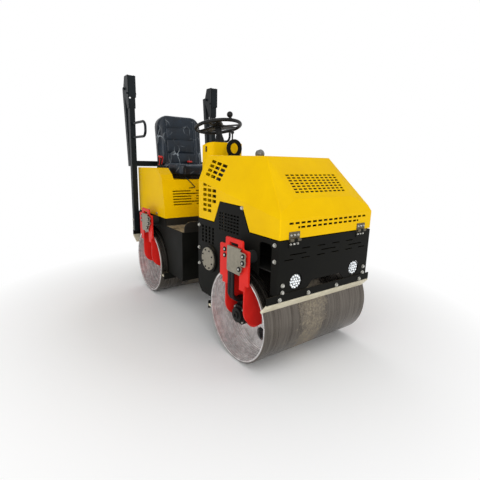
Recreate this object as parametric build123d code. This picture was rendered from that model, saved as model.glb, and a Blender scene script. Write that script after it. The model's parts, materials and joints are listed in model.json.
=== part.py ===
from build123d import *

import os
from math import cos, radians, sin, sqrt

# Ride-on tandem road roller: two steel drums under a frame that is jointed in the middle.
# X points forward, Y to the machine's left and Z up. Places along X are taken from the
# articulation axis and heights from the top of the drums, over which the frame is built.
# The pieces are written out about the middle of the overall length, with the ground at zero.

# Fits and plate
RUNNING = 0.05  # radial clearance of a journal or pin that turns
FACE_GAP = 1  # between faces that turn past each other
SHEET = 3
PLATE = 8
PANEL = 6

# Drums
DRUM_R = 300
DRUM_WIDTH = 900
DRUM_WALL = 18
DRUM_EDGE = 5
WHEELBASE = 1450
WEB_INSET = 220  # from the drum's end to its web
WEB = 16
WEB_HOLE_R = 45
WEB_HOLES = 4
HUB_R = 95
HUB = 24
JOURNAL_R = 45
ARCH_GAP = 30  # from the drum to the side plate's arch

# Body
FRONT_REAR = 153  # rear face of the front half
NOSE_GAP = 18  # from the front drum to the front panel's outer face
PANEL_BOTTOM = -86
FRONT_BOTTOM = -322
FRONT_CHAMFER = 52
PLATE_TOP = 229
DECK_Z = 40
TANK_GAP = 40  # from the drum to the wall beside it
SIDE_CUTOUT = (171, 60)  # rear and front edge of the side plate's cut-out, back from the front panel
SIDE_CUTOUT_TOP = 202
SIDE_CUTOUT_ROUND = 25

# Hood, a shell of flat folds: side crease, roof and sloping nose
HOOD_REAR = 160
HOOD_BOTTOM = 236
HOOD_TOP = 676
CREASE_REAR_Z = 507
CREASE_FRONT_Z = 346
ROOF_FRONT = (287, 273)  # setback from the front and half width of the roof's front corners
NOSE_FOLD = (54, 242, 445)  # setback, half width and height of the fold across the nose
RIDGE_RISE = 34  # from the front corner to where the nose's ridge starts
FOLD_R = 6
NOTCH = ((367, 228), (441, 383), (700, 378), (781, 228))
NOTCH_GAP = 6

# Grids of slots, each as columns and rows, their pitches, and the slot's length and height
SLOT_DEPTH = 40
NOSE_GRID = ((11, 7), (40, 21.3), (28, 12))
NOSE_GRID_DROP = 215  # down the slope from the roof's front edge
FACET_GRID = ((3, 4), (70, 32), (56, 20))
FACET_GRID_AT = (148, 108)  # forward and up from the rear end of the side crease
SIDE_GRID = ((2, 6), (62, 35), (50, 21))
SIDE_GRID_AT = (278, 391)
SIDE_COLUMN = ((1, 3), (62, 35), (50, 21))
SIDE_COLUMN_AT = (371, 408)
CREASE_RIM = 5  # left between the side slots and the crease
STRIP_ROWS = ((15, 322), (11, 297))  # slots in each row across the hood's front, and its height
STRIP_PITCH = 45
STRIP_SLOT = (32, 12)
PLATE_GRIDS = (
    ((7, 6), (33.5, 21), (24, 12), (552, 254)),
    ((4, 5), (47, 25), (24, 20), (290, 130)),
)
PANEL_SLOT = 7
PANEL_ROWS = ((4, 128, 65, 175), (3, 250, 125, 146), (6, 128, 65, 119))  # count, pitch, length, height

# Hood hinges
HINGE_Y = 290
HINGE_WIDTH = 80
HINGE_R = 9
HINGE_PIN_R = 4
HINGE_LEAF = 3
HINGE_LEAF_DROP = 40
HINGE_Z = 231

# Lamps and the cut-out in the front panel
LAMP_Y = 258
LAMP_Z = -15
LAMP_HOLE_R = 50
LAMP_R = 46
LAMP_FLANGE_R = 54
LAMP_DEPTH = 55
LAMP_RECESS = 4
CUTOUT_TOP = -28
CUTOUT_HALF = (185, 120)  # half widths of the panel's bottom cut-out, at its foot and its top

# Drum arms, the same at all four corners
ARM_GAP = 8  # from the drum's end to the arm's outer plate
ARM = 12
ARM_HALF = 150
ARM_FOOT = -66
ARM_SHOULDER = 145
ARM_TOP = 194
ARM_TAB_HALF = 88
ARM_LEG = (63, 120)  # inner and outer edge of the legs that carry the gussets
ARM_LEG_FOOT = -105
ARM_NOTCH_TOP = 40
TIE_SLOT = (90, 22)
TIE_SLOT_Z = 158
GUSSET_X = 98
GUSSET_TOP = -52
GUSSET_DROP = 50  # from the axle to the gusset's lower edge
GUSSET_ROUND = 115
CARRIER_INSET = 135  # from the drum's end to the carrier's inner face
CARRIER = 16

# Rubber mounts between the arms and the side plates
RUBBER = 63
RUBBER_R = 38
RUBBER_X = 97
RUBBER_Z = 100

# Cover plates over the hoses, stood off the arms
COVER_GAP = 14
COVER = 4
COVER_HALF = 62
COVER_Z = (-8, 146)
COVER_EAR_HALF = 120
COVER_EAR_Z = (63, 143)
COVER_LIP = 12
COVER_BOLTS = ((-97, 119), (-97, 82), (97, 119), (97, 82), (46, 36))
SPACER_R = 14

# Drive motor, hoses and bearing hub
MOTOR_HALF = 58
MOTOR_CORNER = 22
MOTOR_LENGTH = 90
MOTOR_CAP_R = 46
MOTOR_CAP = 20
PORT_R = 24
PORT = 10
HOSE_R = 12
HOSE_XS = (-40, -8)
HOSE_IN = 2  # from the arm's outer face in to the hose's middle
HOSE_RISE = 95  # from the axle to the hose's lower run
HOSE_END = 67  # from the carrier to the hose's end
HOSE_BEND = 60
FITTING_REACH = 36
BEARING_R = 84
BEARING_FLANGE = 20
BEARING_CAP_R = 56
BEARING_CAP = 26

# Scrapers
SCRAPER_SHORT = 4  # from the drum's end to the scraper's
SCRAPER_SHIFT = -25
SCRAPER_BAR = 6
SCRAPER_BAR_Z = (-116, -72)
BLADE = 12
BLADE_GAP = 2
BLADE_TIP_ANGLE = 26  # height of the outer blade's tip above the axle, seen from the axle
INNER_BAR_DROP = 56  # from the frame's lower edge to the inner bar's foot
INNER_BAR_LAP = 42  # how far the inner bar laps the wall it hangs from
INNER_BLADE_DROP = (34, 20)  # from the frame's lower edge to the inner blade's faces

# Round inspection cover on the tank's side
HATCH_X = 325
HATCH_Z = -36
HATCH_RING_R = 97
HATCH_RING = 14
HATCH_R = 82
HATCH = 10

# Centre joint
JOINT_Z = -220
KNUCKLE_R = 62
KNUCKLE_HALF = 62
TRUNNION_R = 50
PIN_R = 32
LUG = 28
LUG_R = 64
LUG_ROOT_HALF = 130
BOSS_R = 90
BOSS_REAR = 95
BULKHEAD = 18

# Rear half
REAR_FRONT = -119  # front face of the rear half
TAIL_GAP = 65  # from the rear drum to the rear panel's outer face
REAR_BOTTOM = -342
FLOOR_Z = 70
TOE_HALF = 374  # half width and top of the toe board in front of the footwell
TOE_TOP = 150
TOE_ROUND = 55
SEAT_DECK_Z = 136
RISER_X = -444
DECK = 6

# Seat box: its side outline, front to back, the cheeks beside the seat and the louvres
SEAT_BOX_FRONT = ((-444, 136), (-500, 466))
CHEEK = ((-533, 511), (-614, 564))
CHEEK_REAR_Z = 556
SEAT_BOX_SETBACK = 7  # from the rear panel to the seat box
SEAT_SHELF_Z = 466
CHEEK_INNER = 285
SEAT_BOX_WALL = 4
LOUVRE = 10
LOUVRE_TOP = 366
LOUVRE_PITCH = 23.4
LOUVRE_LONG = ((-306, -16), (16, 306))
LOUVRE_SHORT = ((-306, -126), (-75, 75), (126, 306))
LOUVRE_ROWS = (LOUVRE_SHORT, LOUVRE_LONG, LOUVRE_SHORT, LOUVRE_SHORT, LOUVRE_LONG, LOUVRE_SHORT)

# Seat
SEAT_HALF = 232
SEAT_FRONT = -508
SEAT_REAR = -900
SEAT_ROUND = 40
SEAT_BASE = 44
SEAT_PAN = 12
SEAT_PAN_INSET = 25
SLIDE_HALF = 22
SLIDE_INSET = 40
CUSHION = 86
BACK_HALF = 242
BACK_FOOT_Z = 565
BACK_HEIGHT = 515
BACK = 95
BACK_ROUND = 90
BACK_LEAN = 8
BACK_X = -900
SOFT_GAP = 0.5

# Console, steering column, wheel and travel lever
CONSOLE_FRONT = -76
CONSOLE_SIDE_REAR = -192
CONSOLE_REAR = -272
CONSOLE_HALF = 168
CONSOLE_REAR_HALF = 95
CONSOLE_TOP_Z = 785  # height of the front edge, from which the top slopes down to the driver
CONSOLE_ROUND = 55
CONSOLE_WALL = 4
PEDESTAL_HALF = 110
PEDESTAL_TOP = 500
WHEEL_TILT = 12.6
WHEEL_CENTRE = (-224, 918)  # x and height
WHEEL_R = 186
WHEEL_RIM_R = 14
WHEEL_HUB_R = 42
WHEEL_HUB = 34
SPOKE = (26, 8)
SPOKES = 3
COLUMN_R = 26
COLUMN_BOOT_R = 50
COLUMN_BOOT = 95
STEERING_SHAFT_R = 12
KNOB_R = 24
KNOB_RISE = 42
LEVER_AT = (-95, 58)
LEVER_LENGTH = 84
LEVER_R = 6
LEVER_KNOB_R = 14

# Lifting post with its eye
EYE_X = 20
EYE_Z = 739
EYE_R = 70
EYE_HOLE_R = 42
EYE_PLATE = 22
EYE_ROUND = 7
POST_HALF = 50

# Folding roll bar: posts with side brackets, and a hoop that hangs behind them
ROPS_SETBACK = 25  # from the rear panel to the posts' middle
ROPS_PAD = 25  # thickness of the pad between the side plate and the post
ROPS_PAD_TOP = 124
ROPS_TUBE = 50
ROPS_FOOT = -70
ROPS_TOP = 1185
BRACKET = 8
BRACKET_FOOT = 1100
BRACKET_TOP = 1390
BRACKET_FRONT = 24  # edges of the bracket, from the post's middle
BRACKET_TOP_REAR = -74
BRACKET_HEEL = (-118, 1270)
BRACKET_REAR_Z = 1120
BRACKET_ROUND = 6
LOCK_Z = 1348
LOCK_R = 11
STOP_R = 8
STOP_AT = (9, 1232)  # from the post's middle, and height
PIVOT_Z = 1280
PIVOT_R = 12
PIVOT_OUT = 14  # how far the pivot pin stands out of the brackets
HOOP_OFFSET = 76  # from the pivot to the leg's middle, which brings the raised leg over the post
HOOP_TUBE = (50, 40)  # depth and width of the hoop's tube
HOOP_HEAD = 30  # from the pivot to the leg's end
HOOP_DROP = 710  # from the pivot to the far side of the crossbar
HOOP_LEAN = 6.2  # angle of the folded hoop, its crossbar towards the posts
HANDLE_R = 11
HANDLE_Z = (836, 964)
HANDLE_REACH = 321
HANDLE_BEND = 55

# Engine, one plain block under the hood, and the dome on the hood's roof
ENGINE_REAR = 430
ENGINE_SETBACK = 143  # from the front panel to the engine
ENGINE_HALF = 220
ENGINE_TOP = 480
DOME_AT = (211, 110)
DOME_R = 36
DOME_STEM_R = 24
DOME_STEM = 22

# Worked out from the driving sizes
FRONT_AXLE = WHEELBASE / 2
REAR_AXLE = -WHEELBASE / 2
AXLE_Z = -DRUM_R
GROUND_Z = -2 * DRUM_R
DRUM_HALF = DRUM_WIDTH / 2
ARCH_R = DRUM_R + ARCH_GAP
FRONT_PANEL_X = FRONT_AXLE + DRUM_R + NOSE_GAP  # outer face of the front panel
REAR_PANEL_X = REAR_AXLE - DRUM_R - TAIL_GAP
TANK_FRONT = FRONT_AXLE - DRUM_R - TANK_GAP
REAR_WALL_X = REAR_AXLE + DRUM_R + TANK_GAP
ARM_IN = DRUM_HALF + ARM_GAP
ARM_OUT = ARM_IN + ARM
CARRIER_IN = DRUM_HALF - CARRIER_INSET
CARRIER_OUT = CARRIER_IN + CARRIER
BODY_HALF = ARM_IN - RUBBER  # from the middle to the outside of the side plates
BODY_INSIDE = BODY_HALF - PLATE
HOSE_Y = ARM_OUT - HOSE_IN
HOSE_Z = AXLE_Z + HOSE_RISE
HOSE_END_Y = CARRIER_OUT + HOSE_END
SCRAPER_HALF = DRUM_HALF - SCRAPER_SHORT
SEAT_BOX_REAR = REAR_PANEL_X + SEAT_BOX_SETBACK
ROPS_X = REAR_PANEL_X + ROPS_SETBACK
ROPS_Y = BODY_HALF + ROPS_PAD + ROPS_TUBE / 2
HINGE_X = FRONT_PANEL_X + HINGE_R
PIVOT_X = ROPS_X - HOOP_OFFSET
LEAN = radians(HOOP_LEAN)
FRONT_REACH = HINGE_X + HINGE_R
REAR_REACH = PIVOT_X - (HOOP_OFFSET + HOOP_TUBE[0] / 2) * cos(LEAN) - HOOP_HEAD * sin(LEAN)
CENTRE_X = (FRONT_REACH + REAR_REACH) / 2


def block(x, y, z):
    """Box between two values on each axis."""
    size = [high - low for low, high in (x, y, z)]
    middle = [(low + high) / 2 for low, high in (x, y, z)]
    return Pos(*middle) * Box(*size)


def plate_xz(points, y):
    """Plate of an outline in X and Z, between two values of Y."""
    face = make_face(Polyline(*[(px, y[0], pz) for px, pz in points], close=True))
    return extrude(face, amount=y[1] - y[0], dir=(0, 1, 0))


def plate_xy(points, z):
    """Plate of an outline in X and Y, between two heights."""
    face = make_face(Polyline(*[(px, py, z[0]) for px, py in points], close=True))
    return extrude(face, amount=z[1] - z[0], dir=(0, 0, 1))


def rod(start, end, radius):
    """Round bar from one point to another."""
    along = Vector(*end) - Vector(*start)
    return Plane(origin=start, z_dir=along) * Cylinder(
        radius, along.length, align=(Align.CENTER, Align.CENTER, Align.MIN)
    )


def on_side(shape, side):
    """A piece modelled on the left, kept there or mirrored to the right."""
    return shape if side > 0 else mirror(shape, about=Plane.XZ)


def both_sides(shape):
    """A left-hand piece with its mirror image, as two solids."""
    return Compound([*shape.solids(), *mirror(shape, about=Plane.XZ).solids()])


def slot_grid(plane, count, pitch, size):
    """Cutters for a grid of slots, centred on a plane: counts, pitches and the slot's length and height."""
    return [
        plane * place * Box(size[0], size[1], SLOT_DEPTH)
        for place in GridLocations(pitch[0], pitch[1], count[0], count[1])
    ]


def side_plane(x, z):
    """Plane on the outside of the left-hand side, with its X forward."""
    return Plane(origin=(x, BODY_HALF, z), x_dir=(1, 0, 0), z_dir=(0, -1, 0))


def front_plane(z):
    """Plane on the front, with its X across the machine."""
    return Plane(origin=(FRONT_PANEL_X, 0, z), x_dir=(0, 1, 0), z_dir=(1, 0, 0))


def drum(axle_x):
    """Rolling drum: shell, two webs with openings, hubs and the journals it turns on."""
    web = DRUM_HALF - WEB_INSET
    inner = DRUM_R - DRUM_WALL
    half = [
        (0, 0),
        (HUB_R / 2, 0),
        (HUB_R / 2, web - WEB),
        (inner, web - WEB),
        (inner, 0),
        (DRUM_R, 0),
        (DRUM_R, DRUM_HALF - DRUM_EDGE),
        (DRUM_R - DRUM_EDGE, DRUM_HALF),
        (inner, DRUM_HALF),
        (inner, web),
        (HUB_R, web),
        (HUB_R, web + HUB),
        (JOURNAL_R, web + HUB),
        (JOURNAL_R, CARRIER_OUT),
        (0, CARRIER_OUT),
    ]
    section = make_face(Polyline(*[(r, y, 0) for r, y in half], close=True))
    solid = revolve(section, axis=Axis.Y)
    solid += mirror(solid, about=Plane.XZ)
    for place in PolarLocations((HUB_R + inner) / 2, WEB_HOLES):
        solid -= Rot(X=90) * place * Cylinder(WEB_HOLE_R, DRUM_WIDTH)
    return Pos(axle_x, 0, AXLE_Z) * solid


def arm(axle_x):
    """Left-hand drum arm: outer plate, two gussets into the drum's end and the journal's carrier."""
    half = [
        (0, ARM_NOTCH_TOP),
        (ARM_LEG[0], ARM_NOTCH_TOP),
        (ARM_LEG[0], ARM_LEG_FOOT),
        (ARM_LEG[1], ARM_LEG_FOOT),
        (ARM_LEG[1], ARM_FOOT),
        (ARM_HALF, ARM_FOOT),
        (ARM_HALF, ARM_SHOULDER),
        (ARM_TAB_HALF, ARM_SHOULDER),
        (ARM_TAB_HALF, ARM_TOP),
        (0, ARM_TOP),
    ]
    outline = half + [(-x, z) for x, z in reversed(half[1:-1])]
    outer = plate_xz(outline, (ARM_IN, ARM_OUT))
    corners = outer.edges().filter_by(Axis.Y).filter_by(lambda e: e.center().Z > ARM_SHOULDER - 1)
    outer = fillet(corners, ARM)
    outer -= block(
        (-TIE_SLOT[0] / 2, TIE_SLOT[0] / 2),
        (ARM_IN, ARM_OUT),
        (TIE_SLOT_Z - TIE_SLOT[1] / 2, TIE_SLOT_Z + TIE_SLOT[1] / 2),
    )
    solid = outer
    for x in (-GUSSET_X, GUSSET_X):
        gusset = block((x - ARM / 2, x + ARM / 2), (CARRIER_IN, ARM_IN), (AXLE_Z - GUSSET_DROP, GUSSET_TOP))
        lower = gusset.edges().filter_by(Axis.X).sort_by(lambda e: e.center().Z - e.center().Y)[0]
        solid += fillet(lower, GUSSET_ROUND)
    width = GUSSET_X + ARM / 2
    solid += block((-width, width), (CARRIER_IN, CARRIER_OUT), (AXLE_Z, GUSSET_TOP))
    solid += rod((0, CARRIER_IN, AXLE_Z), (0, CARRIER_OUT, AXLE_Z), width)
    solid -= rod((0, CARRIER_IN, AXLE_Z), (0, CARRIER_OUT, AXLE_Z), JOURNAL_R + RUNNING)
    return Pos(axle_x, 0, 0) * solid


def rubber_mounts(axle_x):
    """Rubber blocks between the arms and the side plates."""
    mounts = [
        rod((axle_x + x, BODY_HALF, RUBBER_Z), (axle_x + x, ARM_IN, RUBBER_Z), RUBBER_R)
        for x in (-RUBBER_X, RUBBER_X)
    ]
    return both_sides(Compound(mounts))


def cover(axle_x):
    """Left-hand cover plate over the hoses, with its ears, top lip and spacers."""
    face = (ARM_OUT + COVER_GAP, ARM_OUT + COVER_GAP + COVER)
    solid = block((-COVER_HALF, COVER_HALF), face, COVER_Z)
    solid += block((-COVER_EAR_HALF, COVER_EAR_HALF), face, COVER_EAR_Z)
    corners = solid.edges().filter_by(Axis.Y).filter_by(lambda e: abs(e.center().X) > COVER_EAR_HALF - 1)
    solid = fillet(corners, COVER)
    lip = (face[0] - COVER_LIP, face[1])
    solid += block((-COVER_HALF, COVER_HALF), lip, (COVER_Z[1] - COVER, COVER_Z[1]))
    for x, z in COVER_BOLTS:
        solid += rod((x, ARM_OUT, z), (x, face[0], z), SPACER_R)
    return Pos(axle_x, 0, 0) * solid


def drive_motor(axle_x):
    """Left-hand hydraulic motor on the arm's carrier, with its end port and hose fittings."""
    end = CARRIER_OUT + MOTOR_LENGTH
    body = block(
        (-MOTOR_HALF, MOTOR_HALF), (CARRIER_OUT, end), (AXLE_Z - MOTOR_HALF, AXLE_Z + MOTOR_HALF)
    )
    body = chamfer(body.edges().filter_by(Axis.Y), MOTOR_CORNER)
    body += rod((0, end, AXLE_Z), (0, end + MOTOR_CAP, AXLE_Z), MOTOR_CAP_R)
    port = rod((0, end + MOTOR_CAP, AXLE_Z), (0, end + MOTOR_CAP + PORT, AXLE_Z), PORT_R)
    body += port - rod((0, end + MOTOR_CAP, AXLE_Z), (0, end + MOTOR_CAP + PORT, AXLE_Z), PORT_R / 2)
    for x in HOSE_XS:
        body += block(
            (x - HOSE_R, x + HOSE_R),
            (HOSE_END_Y - FITTING_REACH, HOSE_END_Y),
            (AXLE_Z, HOSE_Z + HOSE_R),
        )
    return Pos(axle_x, 0, 0) * body


def motor_hoses(axle_x):
    """Left-hand pair of hoses from behind the cover plate down and in to the motor."""
    hoses = []
    for x in HOSE_XS:
        start, corner, end = (
            (axle_x + x, HOSE_Y, ARM_NOTCH_TOP),
            (axle_x + x, HOSE_Y, HOSE_Z),
            (axle_x + x, HOSE_END_Y, HOSE_Z),
        )
        path = FilletPolyline(start, corner, end, radius=HOSE_BEND)
        section = Plane(origin=start, z_dir=(0, 0, -1)) * Circle(HOSE_R)
        hoses.append(sweep(section, path=path))
    return Compound([hose.solids()[0] for hose in hoses])


def bearing_hub(axle_x):
    """Left-hand bearing flange and cap on the arm's carrier."""
    flange_end = CARRIER_OUT + BEARING_FLANGE
    hub = rod((axle_x, CARRIER_OUT, AXLE_Z), (axle_x, flange_end, AXLE_Z), BEARING_R)
    cap = rod((axle_x, flange_end, AXLE_Z), (axle_x, flange_end + BEARING_CAP, AXLE_Z), BEARING_CAP_R)
    return hub + chamfer(cap.edges().sort_by(Axis.Y)[-1], BEARING_CAP / 3)


def scraper_span(shift):
    """Range of Y that a scraper covers."""
    return (shift - SCRAPER_HALF, shift + SCRAPER_HALF)


def blade_tip(axle_x, outward):
    """Point where the outer blade meets the drum."""
    reach = DRUM_R + BLADE_GAP
    angle = radians(BLADE_TIP_ANGLE)
    return (axle_x + outward * reach * cos(angle), AXLE_Z + reach * sin(angle))


def outer_scraper(axle_x, panel_x, outward):
    """Bar on the panel's foot and slanting blade of the scraper at the machine's end."""
    span = scraper_span(SCRAPER_SHIFT)
    face, front = panel_x, panel_x + outward * SCRAPER_BAR
    low, high = SCRAPER_BAR_Z
    bar = plate_xz([(face, low), (front, low), (front, high), (face, high)], span)
    tip = Vector(*blade_tip(axle_x, outward))
    top = Vector(face, low)
    along = (tip - top).normalized()
    across = Vector(-along.Y, along.X) * BLADE * (1 if outward > 0 else -1)
    blade = plate_xz([(p.X, p.Y) for p in (top, tip, tip + across, top + across)], span)
    blade -= block(
        sorted((face - outward * BLADE * 3, front + outward * BLADE * 3)), span, (low, low + BLADE * 3)
    )
    ends = [(axle_x, y, AXLE_Z) for y in span]
    return bar, blade - rod(*ends, DRUM_R + BLADE_GAP / 2)


def inner_scraper(axle_x, wall_x, bottom, outward):
    """Bar hung from the frame's lower edge and level blade of the scraper at the machine's middle."""
    span = scraper_span(0)
    x = sorted((wall_x, wall_x + outward * SCRAPER_BAR))
    bar = block(x, span, (bottom - INNER_BAR_DROP, bottom))
    bar += block(x, (-BODY_INSIDE, BODY_INSIDE), (bottom, bottom + INNER_BAR_LAP))
    low, high = [bottom - drop for drop in INNER_BLADE_DROP]
    height = max(low - AXLE_Z, AXLE_Z - high, 0)
    tip = axle_x - outward * sqrt((DRUM_R + BLADE_GAP) ** 2 - height**2)
    blade = block(sorted((wall_x + outward * SCRAPER_BAR, tip)), span, (low, high))
    return bar, blade


def front_side_plate():
    """Left-hand side plate of the front half: arch, cut-out, air slots and the part in the hood's notch."""
    rear, front = FRONT_REAR, FRONT_PANEL_X - PANEL
    outline = [
        (rear, FRONT_BOTTOM + FRONT_CHAMFER),
        (rear + FRONT_CHAMFER, FRONT_BOTTOM),
        (FRONT_AXLE, FRONT_BOTTOM),
        (FRONT_AXLE, PANEL_BOTTOM),
        (front, PANEL_BOTTOM),
        (front, PLATE_TOP),
        (NOTCH[3][0] - NOTCH_GAP * 2, PLATE_TOP),
        (NOTCH[2][0] - NOTCH_GAP, NOTCH[2][1] - NOTCH_GAP),
        (NOTCH[1][0] + NOTCH_GAP, NOTCH[1][1] - NOTCH_GAP),
        (NOTCH[0][0] + NOTCH_GAP * 2, PLATE_TOP),
        (rear, PLATE_TOP),
    ]
    thickness = (BODY_INSIDE, BODY_HALF)
    plate = plate_xz(outline, thickness)
    plate -= rod((FRONT_AXLE, 0, AXLE_Z), (FRONT_AXLE, BODY_HALF, AXLE_Z), ARCH_R)
    edges = [FRONT_PANEL_X - setback for setback in SIDE_CUTOUT]
    opening = block(edges, thickness, (AXLE_Z, SIDE_CUTOUT_TOP))
    plate -= fillet(opening.edges().filter_by(Axis.Y).group_by(Axis.Z)[-1], SIDE_CUTOUT_ROUND)
    for count, pitch, size, (x, z) in PLATE_GRIDS:
        plate -= slot_grid(side_plane(x, z), count, pitch, size)
    return plate


def front_panel():
    """Front panel with lamp holes, three rows of slots and the cut-out over the scraper."""
    panel = block(
        (FRONT_PANEL_X - PANEL, FRONT_PANEL_X), (-BODY_HALF, BODY_HALF), (PANEL_BOTTOM, PLATE_TOP)
    )
    for y in (-LAMP_Y, LAMP_Y):
        panel -= rod((FRONT_PANEL_X - PANEL, y, LAMP_Z), (FRONT_PANEL_X, y, LAMP_Z), LAMP_HOLE_R)
    foot, top = CUTOUT_HALF
    outline = [(-foot, PANEL_BOTTOM), (foot, PANEL_BOTTOM), (top, CUTOUT_TOP), (-top, CUTOUT_TOP)]
    face = make_face(Polyline(*[(FRONT_PANEL_X, y, z) for y, z in outline], close=True))
    panel -= extrude(face, amount=PANEL, dir=(-1, 0, 0))
    for count, pitch, length, z in PANEL_ROWS:
        panel -= slot_grid(front_plane(z), (count, 1), (pitch, PANEL_SLOT), (length, PANEL_SLOT))
    return panel


def front_bulkhead():
    """Wall at the rear of the front half, with the bearing that lets the halves rock."""
    foot = FRONT_BOTTOM + FRONT_CHAMFER
    wall = block((FRONT_REAR, FRONT_REAR + BULKHEAD), (-BODY_INSIDE, BODY_INSIDE), (foot, PLATE_TOP))
    wall += rod((BOSS_REAR, 0, JOINT_Z), (FRONT_REAR, 0, JOINT_Z), BOSS_R)
    return wall - rod((BOSS_REAR, 0, JOINT_Z), (FRONT_REAR + BULKHEAD, 0, JOINT_Z), TRUNNION_R + RUNNING)


def front_deck():
    """Deck over the front drum that the engine stands on."""
    x = (FRONT_REAR + BULKHEAD, FRONT_PANEL_X - PANEL)
    return block(x, (-BODY_INSIDE, BODY_INSIDE), (DECK_Z, DECK_Z + PLATE))


def front_tank():
    """Tank between the bulkhead and the front drum, cut off at the rear below as the side plates are."""
    rear, front = FRONT_REAR + BULKHEAD, TANK_FRONT
    cut = FRONT_CHAMFER - BULKHEAD
    outline = [
        (rear, FRONT_BOTTOM + cut),
        (rear + cut, FRONT_BOTTOM),
        (front, FRONT_BOTTOM),
        (front, DECK_Z),
        (rear, DECK_Z),
    ]
    outer = plate_xz(outline, (-BODY_INSIDE, BODY_INSIDE))
    return offset(outer, amount=-PANEL, openings=outer.faces().sort_by(Axis.Z)[-1])


def engine_block():
    """Engine, as one block on the deck."""
    x = (ENGINE_REAR, FRONT_PANEL_X - ENGINE_SETBACK)
    return block(x, (-ENGINE_HALF, ENGINE_HALF), (DECK_Z + PLATE, ENGINE_TOP))


def front_lamp():
    """Left-hand headlamp: flange behind the panel and lens in the panel's hole."""
    back = FRONT_PANEL_X - PANEL
    flange = rod((back - PANEL, LAMP_Y, LAMP_Z), (back, LAMP_Y, LAMP_Z), LAMP_FLANGE_R)
    bowl = rod((back - LAMP_DEPTH, LAMP_Y, LAMP_Z), (FRONT_PANEL_X - LAMP_RECESS, LAMP_Y, LAMP_Z), LAMP_R)
    return flange + bowl


def hatch_ring():
    """Flange of the tank's inspection cover, on the right-hand side."""
    return rod((HATCH_X, -BODY_HALF, HATCH_Z), (HATCH_X, -BODY_HALF - HATCH_RING, HATCH_Z), HATCH_RING_R)


def hatch_cover():
    """Round inspection cover on its flange."""
    face = -BODY_HALF - HATCH_RING
    disc = rod((HATCH_X, face, HATCH_Z), (HATCH_X, face - HATCH, HATCH_Z), HATCH_R)
    return chamfer(disc.edges().sort_by(Axis.Y)[0], HATCH / 4)


def hood_corners():
    """Named corners of the hood's left half."""
    crease_rear = Vector(HOOD_REAR, BODY_HALF, CREASE_REAR_Z)
    front_corner = Vector(FRONT_PANEL_X, BODY_HALF, CREASE_FRONT_Z)
    roof_front = Vector(FRONT_PANEL_X - ROOF_FRONT[0], ROOF_FRONT[1], HOOD_TOP)
    nose = Vector(FRONT_PANEL_X - NOSE_FOLD[0], NOSE_FOLD[1], NOSE_FOLD[2])
    side = (front_corner - crease_rear).cross(roof_front - crease_rear)
    lower_nose = (nose - front_corner).cross(Vector(0, 1, 0))
    edge = side.cross(lower_nose)
    ridge = front_corner + edge * (RIDGE_RISE / edge.Z)
    return crease_rear, front_corner, roof_front, nose, ridge


def fold_plane(a, b, c):
    """Plane through three corners, facing out of the hood."""
    inside = Vector((HOOD_REAR + FRONT_PANEL_X) / 2, 0, HOOD_BOTTOM)
    normal = (b - a).cross(c - a)
    if normal.dot(a - inside) < 0:
        normal = -normal
    return Plane(origin=a, z_dir=normal)


def fold_planes():
    """Outward planes of the hood's folds above its walls."""
    crease_rear, front_corner, roof_front, nose, ridge = hood_corners()
    across = Vector(0, 1, 0)
    planes = [
        fold_plane(roof_front, nose, roof_front + across),
        fold_plane(nose, front_corner, nose + across),
    ]
    for side in (1, -1):
        flip = [Vector(p.X, side * p.Y, p.Z) for p in (crease_rear, front_corner, roof_front, nose, ridge)]
        planes.append(fold_plane(flip[0], flip[1], flip[2]))
        planes.append(fold_plane(flip[2], flip[3], flip[4]))
    return planes


def hood_form(inset):
    """Closed form of the hood with every face moved in and its folds rounded."""
    half = BODY_HALF - inset
    foot = HOOD_BOTTOM - inset
    form = block((HOOD_REAR + inset, FRONT_PANEL_X - inset), (-half, half), (foot, HOOD_TOP - inset))
    for plane in fold_planes():
        form = split(form, plane.offset(-inset), keep=Keep.BOTTOM)
    foot, rear = form.faces().sort_by(Axis.Z)[0], form.faces().sort_by(Axis.X)[0]
    return fillet(form.edges() - foot.edges() - rear.edges(), FOLD_R - inset)


def nose_slots():
    """Cutters for the grille on the slope under the roof's front edge."""
    corners = hood_corners()
    start = Vector(corners[2].X, 0, corners[2].Z)
    slope = (Vector(corners[3].X, 0, corners[3].Z) - start).normalized()
    across = Vector(0, 1, 0)
    plane = Plane(origin=start + slope * NOSE_GRID_DROP, x_dir=across, z_dir=slope.cross(across))
    return slot_grid(plane, *NOSE_GRID)


def facet_slots():
    """Cutters for the grid on the left-hand leaning side, in line with its crease."""
    crease_rear, front_corner, roof_front, _, _ = hood_corners()
    along = (front_corner - crease_rear).normalized()
    normal = along.cross(roof_front - crease_rear).normalized()
    centre = crease_rear + along * FACET_GRID_AT[0] + normal.cross(along) * FACET_GRID_AT[1]
    return slot_grid(Plane(origin=centre, x_dir=along, z_dir=normal), *FACET_GRID)


def wall_slots():
    """Cutters for the columns on the left-hand upright side, which end under the crease."""
    below = plate_xz(
        [
            (HOOD_REAR, HOOD_BOTTOM),
            (FRONT_PANEL_X, HOOD_BOTTOM),
            (FRONT_PANEL_X, CREASE_FRONT_Z - CREASE_RIM),
            (HOOD_REAR, CREASE_REAR_Z - CREASE_RIM),
        ],
        (BODY_HALF - SLOT_DEPTH, BODY_HALF + SLOT_DEPTH),
    )
    slots = slot_grid(side_plane(*SIDE_GRID_AT), *SIDE_GRID)
    slots += slot_grid(side_plane(*SIDE_COLUMN_AT), *SIDE_COLUMN)
    return [slot & below for slot in slots]


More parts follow.
